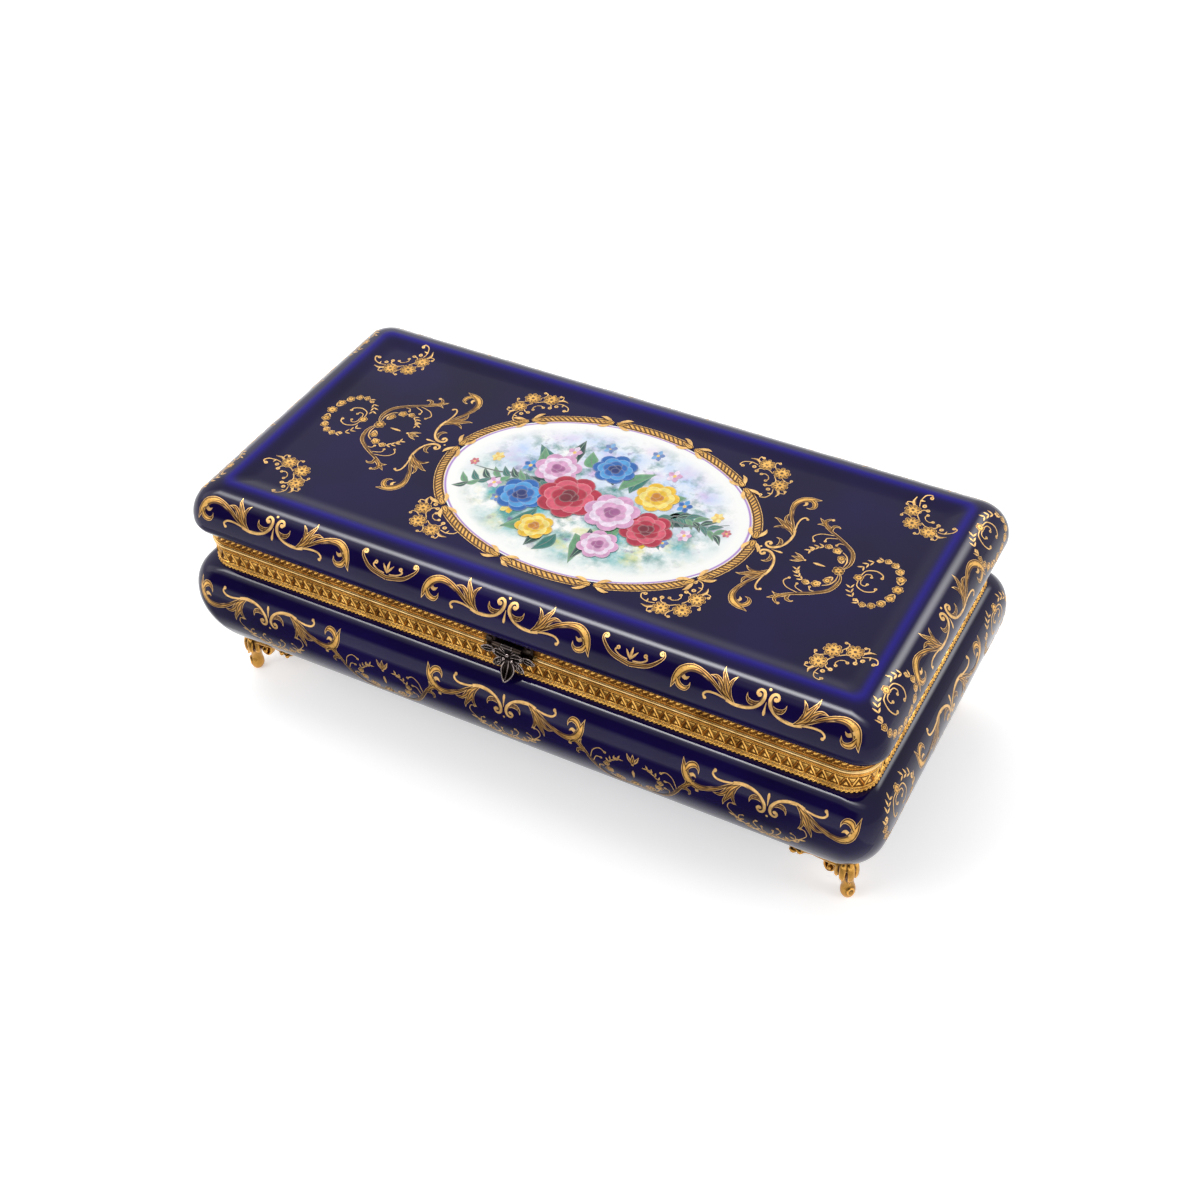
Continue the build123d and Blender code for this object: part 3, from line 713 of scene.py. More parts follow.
# Open wreath: a flower wreath open at the top, with a flower and four hanging curls in it
open_chain = chain(
    14.4, 9.2,
    ((-90, 2.4, 6), (-64, 2.1, 5), (-42, 1.9, 5), (-20, 1.7, 5), (2, 1.5, 5), (25, 1.2, 4)),
    (-78, -53, -31, -9, 12, 36, 48, 60), (0.7, -0.6), 2.8, turning=1,
)
open_wreath = mirrored(
    open_chain
    + curl((0.8, 7.0), (5.0, 6.2), (6.8, 2.4), (5.4, -0.9), (3.6, -1.2), half=0.42, ball=0.9)
    + curl((0.8, 6.0), (3.2, 5.3), (3.7, 3.4), (2.3, 2.8), half=0.35)
) + flower(0, 7.4, 2.1, 6)


def wall(outside, corner):
    """For each face of a body, the rule from (across, up, lift) to a place on its wall."""
    down = [0.0]
    for here, there in zip(outside, outside[1:]):
        down.append(down[-1] + math.dist(here, there))
    ways = {
        "front": ((1, 0), (0, -1), ridge_x, ridge_y),
        "right": ((0, 1), (1, 0), ridge_y, ridge_x),
        "back": ((-1, 0), (0, 1), ridge_x, ridge_y),
        "left": ((0, -1), (-1, 0), ridge_y, ridge_x),
    }

    def on_face(face):
        across, outwards, half_along, half_out = ways[face]

        def lay(u, v, lift):
            far = min(max(-v, 0.0), down[-1] - 0.001)
            k = next(i for i in range(len(down) - 1) if down[i + 1] > far)
            share = (far - down[k]) / (down[k + 1] - down[k])
            step = [b - a for a, b in zip(outside[k], outside[k + 1])]
            offset, height = (a + share * d for a, d in zip(outside[k], step))
            length = math.hypot(*step)
            out, up = -step[1] / length, step[0] / length
            radius = corner(offset)
            straight = half_along + offset - radius
            bend = min(max(abs(u) - straight, 0) / radius, math.pi / 2)
            past = max(abs(u) - straight - radius * math.pi / 2, 0)
            side = 1 if u > 0 else -1
            run = u if bend == 0 else side * (straight + radius * math.sin(bend))
            run += lift * out * side * math.sin(bend)
            reach = half_out + offset - radius + (radius + lift * out) * math.cos(bend) - past
            x, y = (a * run + b * reach for a, b in zip(across, outwards))
            return Vector((x, y, height + lift * up)) * MM

        return lay

    return on_face


def laid_on(name, drawings, body, finish):
    """One mesh of all the drawings, each laid by its own rule, riding on a body."""
    vertices, faces, edges, tones = [], [], [], []
    for lay, shapes in drawings:
        for order, (points, shape_faces, tone) in enumerate(shapes):
            start_at = len(vertices)
            lift = (gold_lift if tone == GOLD else brown_lift) + layer_lift * (order % layers)
            for u, v, edge in points:
                crown = gold_crown * min(edge, 1) if tone == GOLD else 0
                vertices.append(lay(u, v, lift + crown))
                edges.append(edge)
                tones.append(tone)
            faces += [tuple(start_at + i for i in face) for face in shape_faces]
    piece = new_piece(name, vertices, faces)
    mark(piece, "edge", edges)
    mark(piece, "tone", tones)
    piece.data.materials.append(finish)
    smooth(piece, 60)
    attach(piece, body)


gilding_finish, tree, shader = new_finish("gilding", (0.75, 0.48, 0.16), 0.34, 0.75)
object_place = add_node(tree, "TexCoord").outputs["Object"]
patches = noise(tree, object_place, 420.0, 4.0, 0.6)
tone = attribute(tree, "tone")
outline_brown = (0.05, 0.016, 0.006)
outline = ramp(
    tree, attribute(tree, "edge"),
    (0.0, (0.86, 0.54, 0.21)), (0.22, (0.86, 0.53, 0.19)), (0.27, outline_brown),
    (0.6, outline_brown), (0.7, (0.58, 0.29, 0.06)), (1.0, (0.86, 0.50, 0.13)),
)
rubbed = ramp(tree, patches, (0.35, (0.62, 0.55, 0.46)), (0.62, WHITE))
gold_colour = mix_colours(tree, 0.8, outline, rubbed, "MULTIPLY")
wire(
    shader,
    Base_Color=mix_colours(tree, tone, gold_colour, (0.09, 0.035, 0.012)),
    Metallic=ranged(tree, tone, result=(0.6, 0.1)),
    Roughness=ranged(tree, patches, result=(0.3, 0.5)),
)

on_base = wall(base_outside, base_corner)
base_scroll = placed(leaf_scroll, drop=True, wide=0.97, tall=1.13)
base_drawings = []
for face in ("front", "back"):
    for u in (-119, 0, 119):
        base_drawings.append((on_base(face), placed(base_scroll, u, -8.2)))
        base_drawings.append((on_base(face), placed(swag, u, -30.5)))
    for u in (-60, 60):
        base_drawings.append((on_base(face), placed(bracket_wreath, u, -28.6)))
for face in ("right", "left"):
    base_drawings.append((on_base(face), placed(base_scroll, 0, -7.0)))
    base_drawings.append((on_base(face), placed(swag, 0, -29.5)))
    for u in (-58, 58):
        base_drawings.append((on_base(face), placed(open_wreath, u, -17.5, tall=1.2)))
base_drawings = [(lay, finer(shapes, gold_share)) for lay, shapes in base_drawings]
laid_on("base_gilding", base_drawings, "base", gilding_finish)

# Feet
# Four brass castings, gilt and then rubbed: a knee with acanthus leaves, a volute on each
# side, an ankle and a round toe, and two leaf brackets that run under the corner of the base.
# A screw through the porcelain floor holds each one, over a leather washer.
foot_levels = (
    (-0.5, -2.0, 23.4, 4.4), (0.6, -1.7, 20.0, 4.6), (1.6, -1.4, 15.2, 4.3),
    (2.3, -1.2, 11.0, 2.9), (2.7, -1.2, 7.6, 2.6), (3.0, -1.2, 4.6, 3.2), (3.1, -1.2, 2.2, 3.2),
    (3.2, -1.2, 0.0, 2.3),
)
foot_arm, foot_arm_wide, foot_arm_low, foot_top = 23.6, 6.2, 22.9, 24.2
lug_in, lug_low = 12.0, 22.0
screw_boss, screw_boss_low = 4.8, 17.8
foot_grain = 0.33
tarnish_range, tarnish_share = (0.38, 0.68), 0.4


def run_on(shapes, place):
    """The points and the faces of many shapes as one list each, with every point placed."""
    vertices, faces = [], []
    for points, shape_faces in shapes:
        start_at = len(vertices)
        vertices += [place(point) for point in points]
        faces += [tuple(start_at + i for i in face) for face in shape_faces]
    return vertices, faces


def strap(path, across, sides=10, spacing=0.7):
    """A closed bar swept along (x, y, z, half width, half thickness) points, flat across."""
    stops = flow(path, spacing, 3)
    across = Vector(across).normalized()
    vertices = []
    for i, (x, y, z, half, thick) in enumerate(stops):
        run = Vector(stops[min(i + 1, len(stops) - 1)][:3]) - Vector(stops[max(i - 1, 0)][:3])
        run.normalize()
        side = (across - run * across.dot(run)).normalized()
        top = run.cross(side)
        for k in range(sides):
            a, b = around((0, 0), 2 * math.pi * k / sides, half, thick)
            vertices.append(Vector((x, y, z)) + side * a + top * b)
    return vertices, ring_faces(len(stops), sides) + ends_of(len(stops), sides)


def slab(corners, low, high=foot_top):
    """A flat plate between two heights, from its (x, y) corners."""
    vertices = [Vector((x, y, z)) for z in (low, high) for x, y in corners]
    return vertices, ring_faces(2, len(corners)) + ends_of(2, len(corners))


def block(reach_x, reach_y, low):
    """A plate of the foot from its outer corner inwards."""
    return slab(((0, 0), (-reach_x, 0), (-reach_x, -reach_y), (0, -reach_y)), low)


def cast(name, shapes, grain, softened=2):
    """One casting from closed shapes in millimetres, run together, with its hollows marked."""
    piece = new_piece(name, *run_on(shapes, lambda point: point * MM))
    turn_outwards(piece)
    bpy.context.view_layer.objects.active = piece
    piece.select_set(True)
    run_together = piece.modifiers.new("run_together", "REMESH")
    run_together.mode = "VOXEL"
    run_together.voxel_size = grain * MM
    soften = piece.modifiers.new("soften", "SMOOTH")
    soften.iterations = softened
    soften.factor = 0.5
    for step in ("run_together", "soften"):
        bpy.ops.object.modifier_apply(modifier=step)
    bpy.ops.object.shade_smooth()
    piece.select_set(False)
    mark_hollows(piece, grain)
    return piece


def mark_hollows(piece, grain):
    """Marks each point by how far it lies below its neighbours: hollows high, ridges low."""
    shape = bmesh.new()
    shape.from_mesh(piece.data)
    near = [[edge.other_vert(vertex) for edge in vertex.link_edges] for vertex in shape.verts]
    depths = []
    for vertex, around_it in zip(shape.verts, near):
        middle = sum((other.co for other in around_it), Vector()) / len(around_it)
        depths.append((middle - vertex.co).dot(vertex.normal) / (grain * MM))
    near = [[other.index for other in around_it] for around_it in near]
    shape.free()
    for _ in range(2):
        depths = [
            (depth + sum(depths[k] for k in around_it)) / (1 + len(around_it))
            for depth, around_it in zip(depths, near)
        ]
    mark(piece, "hollow", [0.5 + 4 * depth for depth in depths])


# Tarnish gathers in the hollows of metal, and hands rub its high places bright. Where hollows
# are marked, their dark and that of the flats is also painted shade, and the bright ridges a
# painted highlight.
metal_skin, given, end, where = new_group(
    "metal_skin", {"Grain": 900.0, "Pitting": 0.25},
    {"Tarnish": "Float", "Rough": "Float", "Normal": "Vector"},
)
cloud = noise(metal_skin, where, 130.0, 4.0, 0.65)
pits = noise(metal_skin, where, given["Grain"], 2.0)
bump = add_node(metal_skin, "Bump", Strength=given["Pitting"], Distance=0.0002, Height=pits)
rough = ranged(metal_skin, cloud, result=(-0.08, 0.1))
wire(end, Tarnish=cloud, Rough=rough, Normal=bump.outputs["Normal"])


def metal(name, bright, dull, roughness, grain=900.0, pitting=0.25, hollows=()):
    """A metal that runs from a bright to a dull colour, dull in hollows of those marks, where that
    is tarnish and painted shade, and the ridges left bright are a painted highlight.
    """
    material, tree, shader = new_finish(name, bright, roughness, 1.0)
    skin = place_group(tree, metal_skin, Grain=grain, Pitting=pitting)
    share = ranged(tree, skin["Tarnish"], tarnish_range)
    if hollows:
        lighter = maths(tree, "MULTIPLY", share, tarnish_share)
        share = maths(tree, "MAXIMUM", lighter, ranged(tree, attribute(tree, "hollow"), hollows))
    wire(
        shader,
        Base_Color=mix_colours(tree, share, bright, dull),
        Roughness=maths(tree, "ADD", skin["Rough"], roughness),
        Normal=skin["Normal"],
    )
    return material


def refinish(names, material):
    """Gives CAD nodes another material."""
    for name in names:
        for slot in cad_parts[name].material_slots:
            slot.material = material


def scroll(arm):
    """The volute and the bracket of one arm, along X for arm 0 and along Y for arm 1."""
    across = (1, 0, 0) if arm else (0, 1, 0)

    def bar_along(*points, flat=across):
        return strap([(y, x, *rest) if arm else (x, y, *rest) for x, y, *rest in points], flat)

    volute = bar_along(
        (-13.0, -2.4, 21.6, 1.8, 0.9), (-9.4, -2.2, 20.6, 2.0, 0.9), (-7.7, -1.9, 17.6, 2.2, 0.8),
        (-7.6, -1.7, 14.6, 2.4, 0.75), (-6.2, -1.6, 12.1, 2.4, 0.75), (-3.8, -1.5, 12.6, 2.4, 0.7),
        (-3.1, -1.5, 14.9, 2.3, 0.65), (-4.5, -1.5, 16.4, 2.2, 0.6), (-6.0, -1.5, 15.3, 2.1, 0.55),
    )
    bracket = bar_along(
        (-1.0, 0.2, 19.6, 2.6, 2.2), (-7.0, 1.0, 20.6, 2.2, 1.7), (-13.0, 1.3, 21.3, 2.0, 1.5),
        (-17.0, 1.3, 21.1, 2.6, 1.8), (-20.5, 1.2, 20.6, 2.4, 1.9), (-22.8, 0.8, 21.2, 1.5, 1.5),
        (-24.4, 0.3, 22.4, 0.3, 0.6),
    )
    button = bar_along(
        (-5.1, -4.3, 14.4, 0.5, 0.5), (-5.1, -3.9, 14.4, 1.0, 1.0), (-5.1, 1.0, 14.4, 1.0, 1.0),
        (-5.1, 1.6, 14.4, 0.5, 0.5), flat=(0, 0, 1),
    )
    lobes = [
        bar_along(
            (x, 1.3 + 0.6 * way, low - 0.4, 0.5, 0.6),
            (x - 1.8, 1.3 + 2.4 * way, low - 1.2, 1.0, 0.8),
            (x - 3.6, 1.2 + 3.0 * way, low + 0.6, 0.2, 0.3),
        )
        for x, low in ((-15.4, 21.4), (-18.4, 20.8))
        for way in (-1, 1)
    ]
    return [volute, bracket, button] + lobes


def knee_leaf(turn, reach, low, half):
    """One acanthus leaf over the knee, at an angle from the corner's diagonal."""
    out = Vector(around((0, 0), math.radians(45 + turn), 1))
    path = [
        (1.2 + out.x * distance, -1.5 + out.y * distance, height, wide, thick)
        for distance, height, wide, thick in (
            (0.6, 22.6, 0.5, 0.8), (3.9, 20.8, 0.9 * half, 0.9), (reach, 17.0, half, 0.75),
            (reach - 0.1, 13.4, 0.85 * half, 0.7), (reach - 0.9, low + 1.6, 0.55 * half, 0.65),
            (reach - 0.1, low, 0.2, 0.4),
        )
    ]
    return strap(path, (-out.y, out.x, 0))


def toe_ring():
    """The raised oval on the front of the toe."""
    out = Vector((1, 1, 0)).normalized()
    side = Vector((-1, 1, 0)).normalized()
    middle = Vector((3.1, -1.2, 4.4)) + out * 2.9
    path = []
    for step in range(13):
        a, b = around((0, 0), 2 * math.pi * step / 12, 1.35, 1.9)
        path.append((*(middle + side * a + Vector((0, 0, b))), 0.42, 0.42))
    return strap(path, out)


foot_shapes = [
    strap([(x, y, z, r, r) for x, y, z, r in foot_levels], (1, -1, 0), sides=24),
    block(foot_arm, foot_arm_wide, foot_arm_low),
    block(foot_arm_wide, foot_arm, foot_arm_low),
    block(lug_in, lug_in, lug_low),
    slab(
        [around((-lug_in, -lug_in), math.pi * k / 12, screw_boss) for k in range(24)],
        screw_boss_low,
    ),
    knee_leaf(0, 5.3, 9.6, 1.7),
]
for leaf_turn, reach, low, half in ((42, 5.0, 11.6, 1.5), (84, 4.6, 13.2, 1.2)):
    foot_shapes += [knee_leaf(side * leaf_turn, reach, low, half) for side in (-1, 1)]
foot_shapes += [toe_ring(), *scroll(0), *scroll(1)]
# The feet darken in their hollows and flats: partly tarnish, partly painted shade, with the ridges
# left as a painted highlight.
cast_gilt = metal(
    "cast_gilt", (0.95, 0.50, 0.11), (0.05, 0.016, 0.004), 0.2, 700.0, 0.4, hollows=(0.17, 0.7)
)
first_foot = cast("foot_pattern", foot_shapes, foot_grain)
for depth_name, side_y in (("front", -1), ("back", 1)):
    for width_name, side_x in (("left", -1), ("right", 1)):
        foot = add_object(f"gilt_foot_{depth_name}_{width_name}", first_foot.data.copy())
        corner = Matrix.Translation(Vector((side_x * ridge_x, side_y * ridge_y, 0)) * MM)
        foot.data.transform(corner @ Matrix.Diagonal((side_x, side_y, 1, 1)))
        if side_x * side_y < 0:
            foot.data.flip_normals()
        foot.data.materials.append(cast_gilt)
        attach(foot, "base")
        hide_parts(f"foot_{depth_name}_{width_name}")
bpy.data.objects.remove(first_foot)

screw_metal = metal("turned_brass", (0.66, 0.52, 0.28), (0.36, 0.25, 0.11), 0.3, 500.0, 0.15)
refinish(["foot_screws"], screw_metal)
washer_leather = skinned(
    "washer_leather", (0.22, 0.12, 0.06), 0.75, metal_skin,
    ((0.35, (0.13, 0.065, 0.03)), (0.65, (0.27, 0.15, 0.08))), Grain=1500.0, Pitting=0.6,
)
refinish(["foot_washers"], washer_leather)

# Base channel
# A stamped brass channel, gilt, that is bedded in plaster on the lip of the base. Its wall
# has a stippled ground painted dark as the shade between the raised work, a zigzag with a
# small point in each lower triangle and a filled upper one, and lines above and below. A
# beaded edging is soldered along its foot.
mount_out = 9.6
mount_radius = mount_corner + mount_out
mount_arc = math.pi / 2 * mount_radius
mount_sides = (2 * (ridge_x - mount_corner), mount_arc, 2 * (ridge_y - mount_corner), mount_arc)
mount_length = 2 * sum(mount_sides)
stamped_in = -0.05
fitting_gap = 0.8


def on_mount(distance, height, out):
    """A place on the channels: anticlockwise from the front left corner, up, and outwards."""
    distance %= mount_length
    place = Vector((-ridge_x + mount_corner, -ridge_y + mount_corner))
    heading = 0.0
    for i, length in enumerate(mount_sides * 2):
        part = min(distance, length)
        if i % 2 == 0:
            place += Vector(around((0, 0), heading, part))
        else:
            heading += part / mount_radius
        distance -= part
        if distance <= 0:
            break
    place += Vector((math.sin(heading), -math.cos(heading))) * (mount_radius + out)
    return Vector((*place, height)) * MM


def clear_of(distance, height, keep_out):
    """Whether a place on the channels is outside the boxes of the given CAD nodes."""
    place = on_mount(distance, height, 0)
    gap = fitting_gap * MM
    boxes = [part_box(name) for name in keep_out]
    return not any(
        all(low[i] - gap < place[i] < high[i] + gap for i in range(3)) for low, high in boxes
    )


def bar(start, end, half, rise):
    """A raised line with a ridge, between two (distance, height) points."""
    run = (end[0] - start[0], end[1] - start[1])
    length = math.hypot(*run)
    a, b = -run[1] / length * half, run[0] / length * half
    vertices = []
    for u, v in (start, end):
        vertices += [(u + a, v + b, stamped_in), (u, v, rise), (u - a, v - b, stamped_in)]
    return vertices, [(0, 1, 4, 3), (1, 2, 5, 4), (0, 2, 1), (3, 4, 5)]


def stud(u, v, corners, rise):
    """A low point on a base of (across, up) corners round (u, v)."""
    vertices = [(u + a, v + b, stamped_in) for a, b in corners] + [(u, v, rise)]
    count = len(corners)
    return vertices, [(i, (i + 1) % count, count) for i in range(count)]


def knob(u, v, half_u, half_v, rise, tilt=0.0, sides=8):
    """A low dome, round or long, tilted by an angle."""
    vertices = []
    for share, up in ((1.0, stamped_in), (0.72, 0.68 * rise)):
        for k in range(sides):
            step = around((0, 0), 2 * math.pi * k / sides, half_u * share, half_v * share)
            a, b = turned_by(tilt, *step)
            vertices.append((u + a, v + b, up))
    vertices.append((u, v, rise))
    faces = ring_faces(2, sides)
    faces += [(k + sides, (k + 1) % sides + sides, 2 * sides) for k in range(sides)]
    return vertices, faces


def line(section):
    """A continuous line round the channels, from its (out, height) section."""
    levels = [level(mount_out + out, height, mount_radius + out) for out, height in section]
    return sum(levels, []), ring_faces(len(levels), len(levels[0]))


def round_line(low, high, rise):
    """A half-round line between two heights."""
    middle, half = (low + high) / 2, (high - low) / 2
    angles = [math.pi * k / 6 for k in range(7)]
    return line(
        [
            (stamped_in + (rise - stamped_in) * math.sin(angle), middle - half * math.cos(angle))
            for angle in angles
        ]
    )


def stamped(name, shapes, lines, body, finish):
    """One piece of stamped relief on a channel, with its continuous lines."""
    vertices, faces = run_on(shapes, lambda point: on_mount(*point))
    line_vertices, line_faces = run_on(lines, lambda point: point)
    faces += [tuple(len(vertices) + i for i in face) for face in line_faces]
    piece = new_piece(name, vertices + line_vertices, faces)
    piece.data.materials.append(finish)
    smooth(piece, 50)
    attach(piece, body)
    return piece


channel_gilt = metal("channel_gilt", (0.84, 0.55, 0.21), (0.60, 0.36, 0.12), 0.26, 700.0, 0.2)
refinish(["base_rim_mount", "lid_rim_mount"], channel_gilt)
# Painted shade: the stippled ground between the raised work is coloured dark, as the shade there.
shaded_stamped_ground = metal(
    "shaded_stamped_ground", (0.24, 0.10, 0.02), (0.06, 0.022, 0.005), 0.4, 1500.0, 1.0
)
stamped_gilt = metal("stamped_gilt", (0.90, 0.51, 0.125), (0.44, 0.21, 0.04), 0.24, 900.0, 0.3)
ground_out = 0.03
stamped(
    "base_channel_ground", [], [line([(ground_out, 74.6), (ground_out, 80.4)])], "base",
    shaded_stamped_ground,
)

base_fittings = ["hinge_left_base_leaf", "hinge_right_base_leaf", "clasp_catch"]
zigzags = round(mount_length / 4.8)
zigzag_pitch = mount_length / zigzags
zigzag_low, zigzag_high, zigzag_half, zigzag_rise = 75.1, 79.9, 0.4, 0.5
lower_point = ((-1.2, -0.8), (1.2, -0.8), (0, 1.5))
upper_point = ((1.55, 1.3), (-1.55, 1.3), (0, -2.2))
zigzag_shapes = []
for k in range(zigzags):
    u = k * zigzag_pitch
    middle = u + zigzag_pitch / 2
    for start_at, end_at in (((u, zigzag_low), (middle, zigzag_high)),
                             ((middle, zigzag_high), (u + zigzag_pitch, zigzag_low))):
        if clear_of((start_at[0] + end_at[0]) / 2, 77.0, base_fittings):
            zigzag_shapes.append(bar(start_at, end_at, zigzag_half, zigzag_rise))
    if clear_of(middle, 76.6, base_fittings):
        zigzag_shapes.append(stud(middle, 76.2, lower_point, 0.4))
    if clear_of(u, 78.4, base_fittings):
        zigzag_shapes.append(stud(u, 78.4, upper_point, 0.45))
stamped(
    "base_channel_relief",
    zigzag_shapes,
    [round_line(80.3, 81.0, 0.42), round_line(81.2, 81.8, 0.35), round_line(73.9, 74.7, 0.4)],
    "base",
    stamped_gilt,
)

beads = round(mount_length / 1.9)
bead_pitch = mount_length / beads
bead_shapes = []
for k in range(beads):
    bead_shapes.append(knob(k * bead_pitch, 72.15, 0.82, 0.74, 0.72))
    bead_shapes.append(knob((k + 0.5) * bead_pitch, 73.1, 0.5, 0.36, 0.42, sides=6))
edging = stamped(
    "beaded_edging", bead_shapes, [round_line(71.4, 73.0, 0.25)], "base", stamped_gilt
)
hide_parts("base_rim_edging")

plaster = skinned(
    "plaster", (0.80, 0.77, 0.70), 0.9, metal_skin,
    ((0.3, (0.66, 0.62, 0.53)), (0.7, (0.84, 0.81, 0.75))), Grain=1200.0, Pitting=0.8,
)
refinish(["base_bedding", "lid_bedding"], plaster)

# Back hinges
# Two butt hinges of satin brass. Each has a leaf riveted on either channel and a headed pin
# through its three knuckles.
hinge_metal = metal("hinge_brass", (0.70, 0.50, 0.22), (0.42, 0.26, 0.09), 0.32, 600.0, 0.15)
refinish([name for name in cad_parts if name.startswith("hinge_")], hinge_metal)

# Lid shell
# The upper half of the casket, cast and glazed like the base. A rounded ridge runs round the
# sunk panel on top, and there the cobalt runs thin and shows a brighter blue.
lid_widest = 14.8
lid_corners = (4.0, 12.0)
ridge_top, panel_height = 112.7, 110.7
lid_shoulder = ((0.0, ridge_top), (8.6, 111.3), (lid_widest, 105.4), (lid_widest, 96.1))
lid_roll = ((lid_widest, 96.1), (lid_widest, 92.5), (11.8, 89.5), (8.2, 89.5))
lid_cove = ((-10.0, panel_height), (-6.2, panel_height), (-4.2, 112.5), (0.0, ridge_top))
lid_hollow = (
    (3.0, 89.5), (7.2, 92.2), (9.8, 96.3), (9.3, 100.3), (7.4, 103.4), (3.0, 105.3), (-4.0, 105.7),
)
lid_lip_bottom = 84.2
lid_corner = corner_rule(lid_corners, lid_widest, within=0.06)
cove_profile = bezier(lid_cove, 24)
lid_wall_profile = bezier(lid_shoulder, 26) + bezier(lid_roll, 16) + [lid_roll[-1]]
lid_porcelain = shell(
    "lid_porcelain", cove_profile + lid_wall_profile, lid_corner, lid_lip_bottom, lid_hollow,
    lid_widest,
)
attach(lid_porcelain, "lid")
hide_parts("lid_shell")

# Gilding of the lid
# The same gilder's patterns: leaf scrolls and small crescents round the wall, wreaths at the
# ends, and on the panel flower sprays, wreaths, brackets and two upright leaf scrolls.
on_lid = wall(lid_wall_profile, lid_corner)


def on_panel(u, v, lift):
    """The rule that lays a drawing on the sunk panel."""
    radius = lid_corners[0]
    a, b = abs(u) - ridge_x + radius, abs(v) - ridge_y + radius
    if abs(a - b) < radius:
        offset = (a + b - math.sqrt(2 * radius**2 - (a - b) ** 2)) / 2
    else:
        offset = max(a, b) - radius
    height = panel_height
    for here, there in zip(cove_profile, cove_profile[1:]):
        if here[0] <= offset < there[0]:
            share = (offset - here[0]) / (there[0] - here[0])
            height = here[1] + share * (there[1] - here[1])
    if offset >= cove_profile[-1][0]:
        height = ridge_top
    return Vector((u, v, height + lift)) * MM


crescent = mirrored(
    [
        stroke((0, 1.4, 1.15), (7.5, 3.1, 1.0), (11.8, 6.4, 0.75), (13.2, 8.8, 0.55),
               (12.4, 10.2, 0.5)),
        spot(12.0, 9.5, 1.3),
        brown_dot(12.0, 9.5, 0.35),
        stroke((0, 1.2, 0.16), (7.6, 2.9, 0.16), (11.9, 6.3, 0.03), tone=BROWN),
        stroke((0.3, 3.8, 0.3), (1.4, 5.4, 0.55), (2.6, 7.0, 0.04)),
    ]
    + curl((1.2, 3.1), (4.6, 3.7), (6.9, 5.2), (5.9, 6.5), half=0.5, ball=1.0)
) + [stroke((0, 3.4, 0.35), (0, 6.2, 0.65), (0, 8.4, 0.04))]

# Flower spray: three flowers in a bow, with leaves and curls at the ends and under it
spray = flower(0, 5.6, 3.9, 8, 0.2) + flower(7.6, 1.7, 3.7, 8) + flower(-7.6, 1.7, 3.7, 8)
spray += mirrored(
    [
        stroke((9.6, -0.6, 0.2), (12.2, -0.7, 0.75), (14.2, -3.2, 0.05)),
        vein(0.16, (10.4, -1.0), (12.4, -1.6), (13.8, -3.0)),
        spot(8.2, -3.9, 1.25),
        brown_dot(8.2, -3.9, 0.4),
        leaf(11.8, -3.4, -2.2, 2.4, 0.45),
    ]
    + curl((8.9, -1.9), (11.4, -3.6), (12.9, -6.6), (11.9, -9.0), (10.6, -8.3), half=0.4, ball=1.1)
    + curl((10.4, 0.2), (12.2, -0.2), (13.4, 1.4), (12.2, 2.2), half=0.34, ball=0.9)
    + curl((3.4, 4.3), (6.1, 5.0), (7.3, 6.3), (6.4, 7.4), half=0.34, ball=0.9)
    + curl((1.1, 1.8), (4.2, 1.1), (6.2, -2.0), (5.1, -4.0), half=0.4, ball=1.2)
    + curl((0.1, -0.6), (1.9, -1.3), (2.4, -2.8), half=0.34, ball=0.95)
)

lid_drawings = []
for face in ("front", "back"):
    for u in (-113, 0, 113):
        lid_drawings.append((on_lid(face), placed(leaf_scroll, u, -20.4)))
    for u in (-56, 56):
        lid_drawings.append((on_lid(face), placed(crescent, u, -18.4)))
for face in ("right", "left"):
    lid_drawings.append((on_lid(face), placed(leaf_scroll, 0.5, -21.0, wide=0.98)))
    for u in (-53.2, 53.2):
        lid_drawings.append((on_lid(face), placed(open_wreath, u, -13.4)))
lid_drawings = [(lay, finer(shapes, gold_share)) for lay, shapes in lid_drawings]
laid_on("lid_wall_gilding", lid_drawings, "lid", gilding_finish)

panel_drawings = []
for side in (-1, 1):
    turned = 90 * side
    panel_drawings.append(placed(leaf_scroll, 87.2 * side, 1.8, turned, tall=0.9))
    panel_drawings.append(placed(bracket_wreath, 101.8 * side, 1.8, turned))
    panel_drawings.append(placed(open_wreath, 126.2 * side, 1.6, turned))
    for depth in (-1, 1):
        corner_turn = math.degrees(math.atan2(-depth, -side)) - 90
        panel_drawings.append(placed(spray, 2 + 127.6 * side, 0.8 + 46.6 * depth, corner_turn))
        medallion_turn = math.degrees(math.atan2(depth, side)) - 90
        panel_drawings.append(placed(spray, 2.9 + 57.4 * side, 1 + 44.8 * depth, medallion_turn))
panel_drawings = [(on_panel, finer(shapes, panel_gold_share)) for shapes in panel_drawings]
laid_on("panel_gilding", panel_drawings, "lid", gilding_finish)

# Medallion
# An oval of white enamel on the panel, painted with a generic bunch of garden flowers over a
# soft wash, in a gilt rope border of ten lengths that is tied with knots and leaves.
medallion = (1.0, -1.4)
enamel_half = (69.4, 50.6)
enamel_lift = 0.08
enamel_rings, enamel_sides = 10, 120
border_half, border_wide, border_deep = (71.2, 52.3), 2.2, 1.6


def on_medallion(u, v, lift):
    """The rule that lays a drawing on the enamel, round the middle of the medallion."""
    return Vector((medallion[0] + u, medallion[1] + v, panel_height + enamel_lift + lift)) * MM


def round_oval(angle, half, out=0.0):
    """A point on an oval, at an angle, and moved outwards."""
    normal = Vector((math.cos(angle) / half[0], math.sin(angle) / half[1])).normalized()
    u, v = around((0, 0), angle, *half)
    return u + normal.x * out, v + normal.y * out


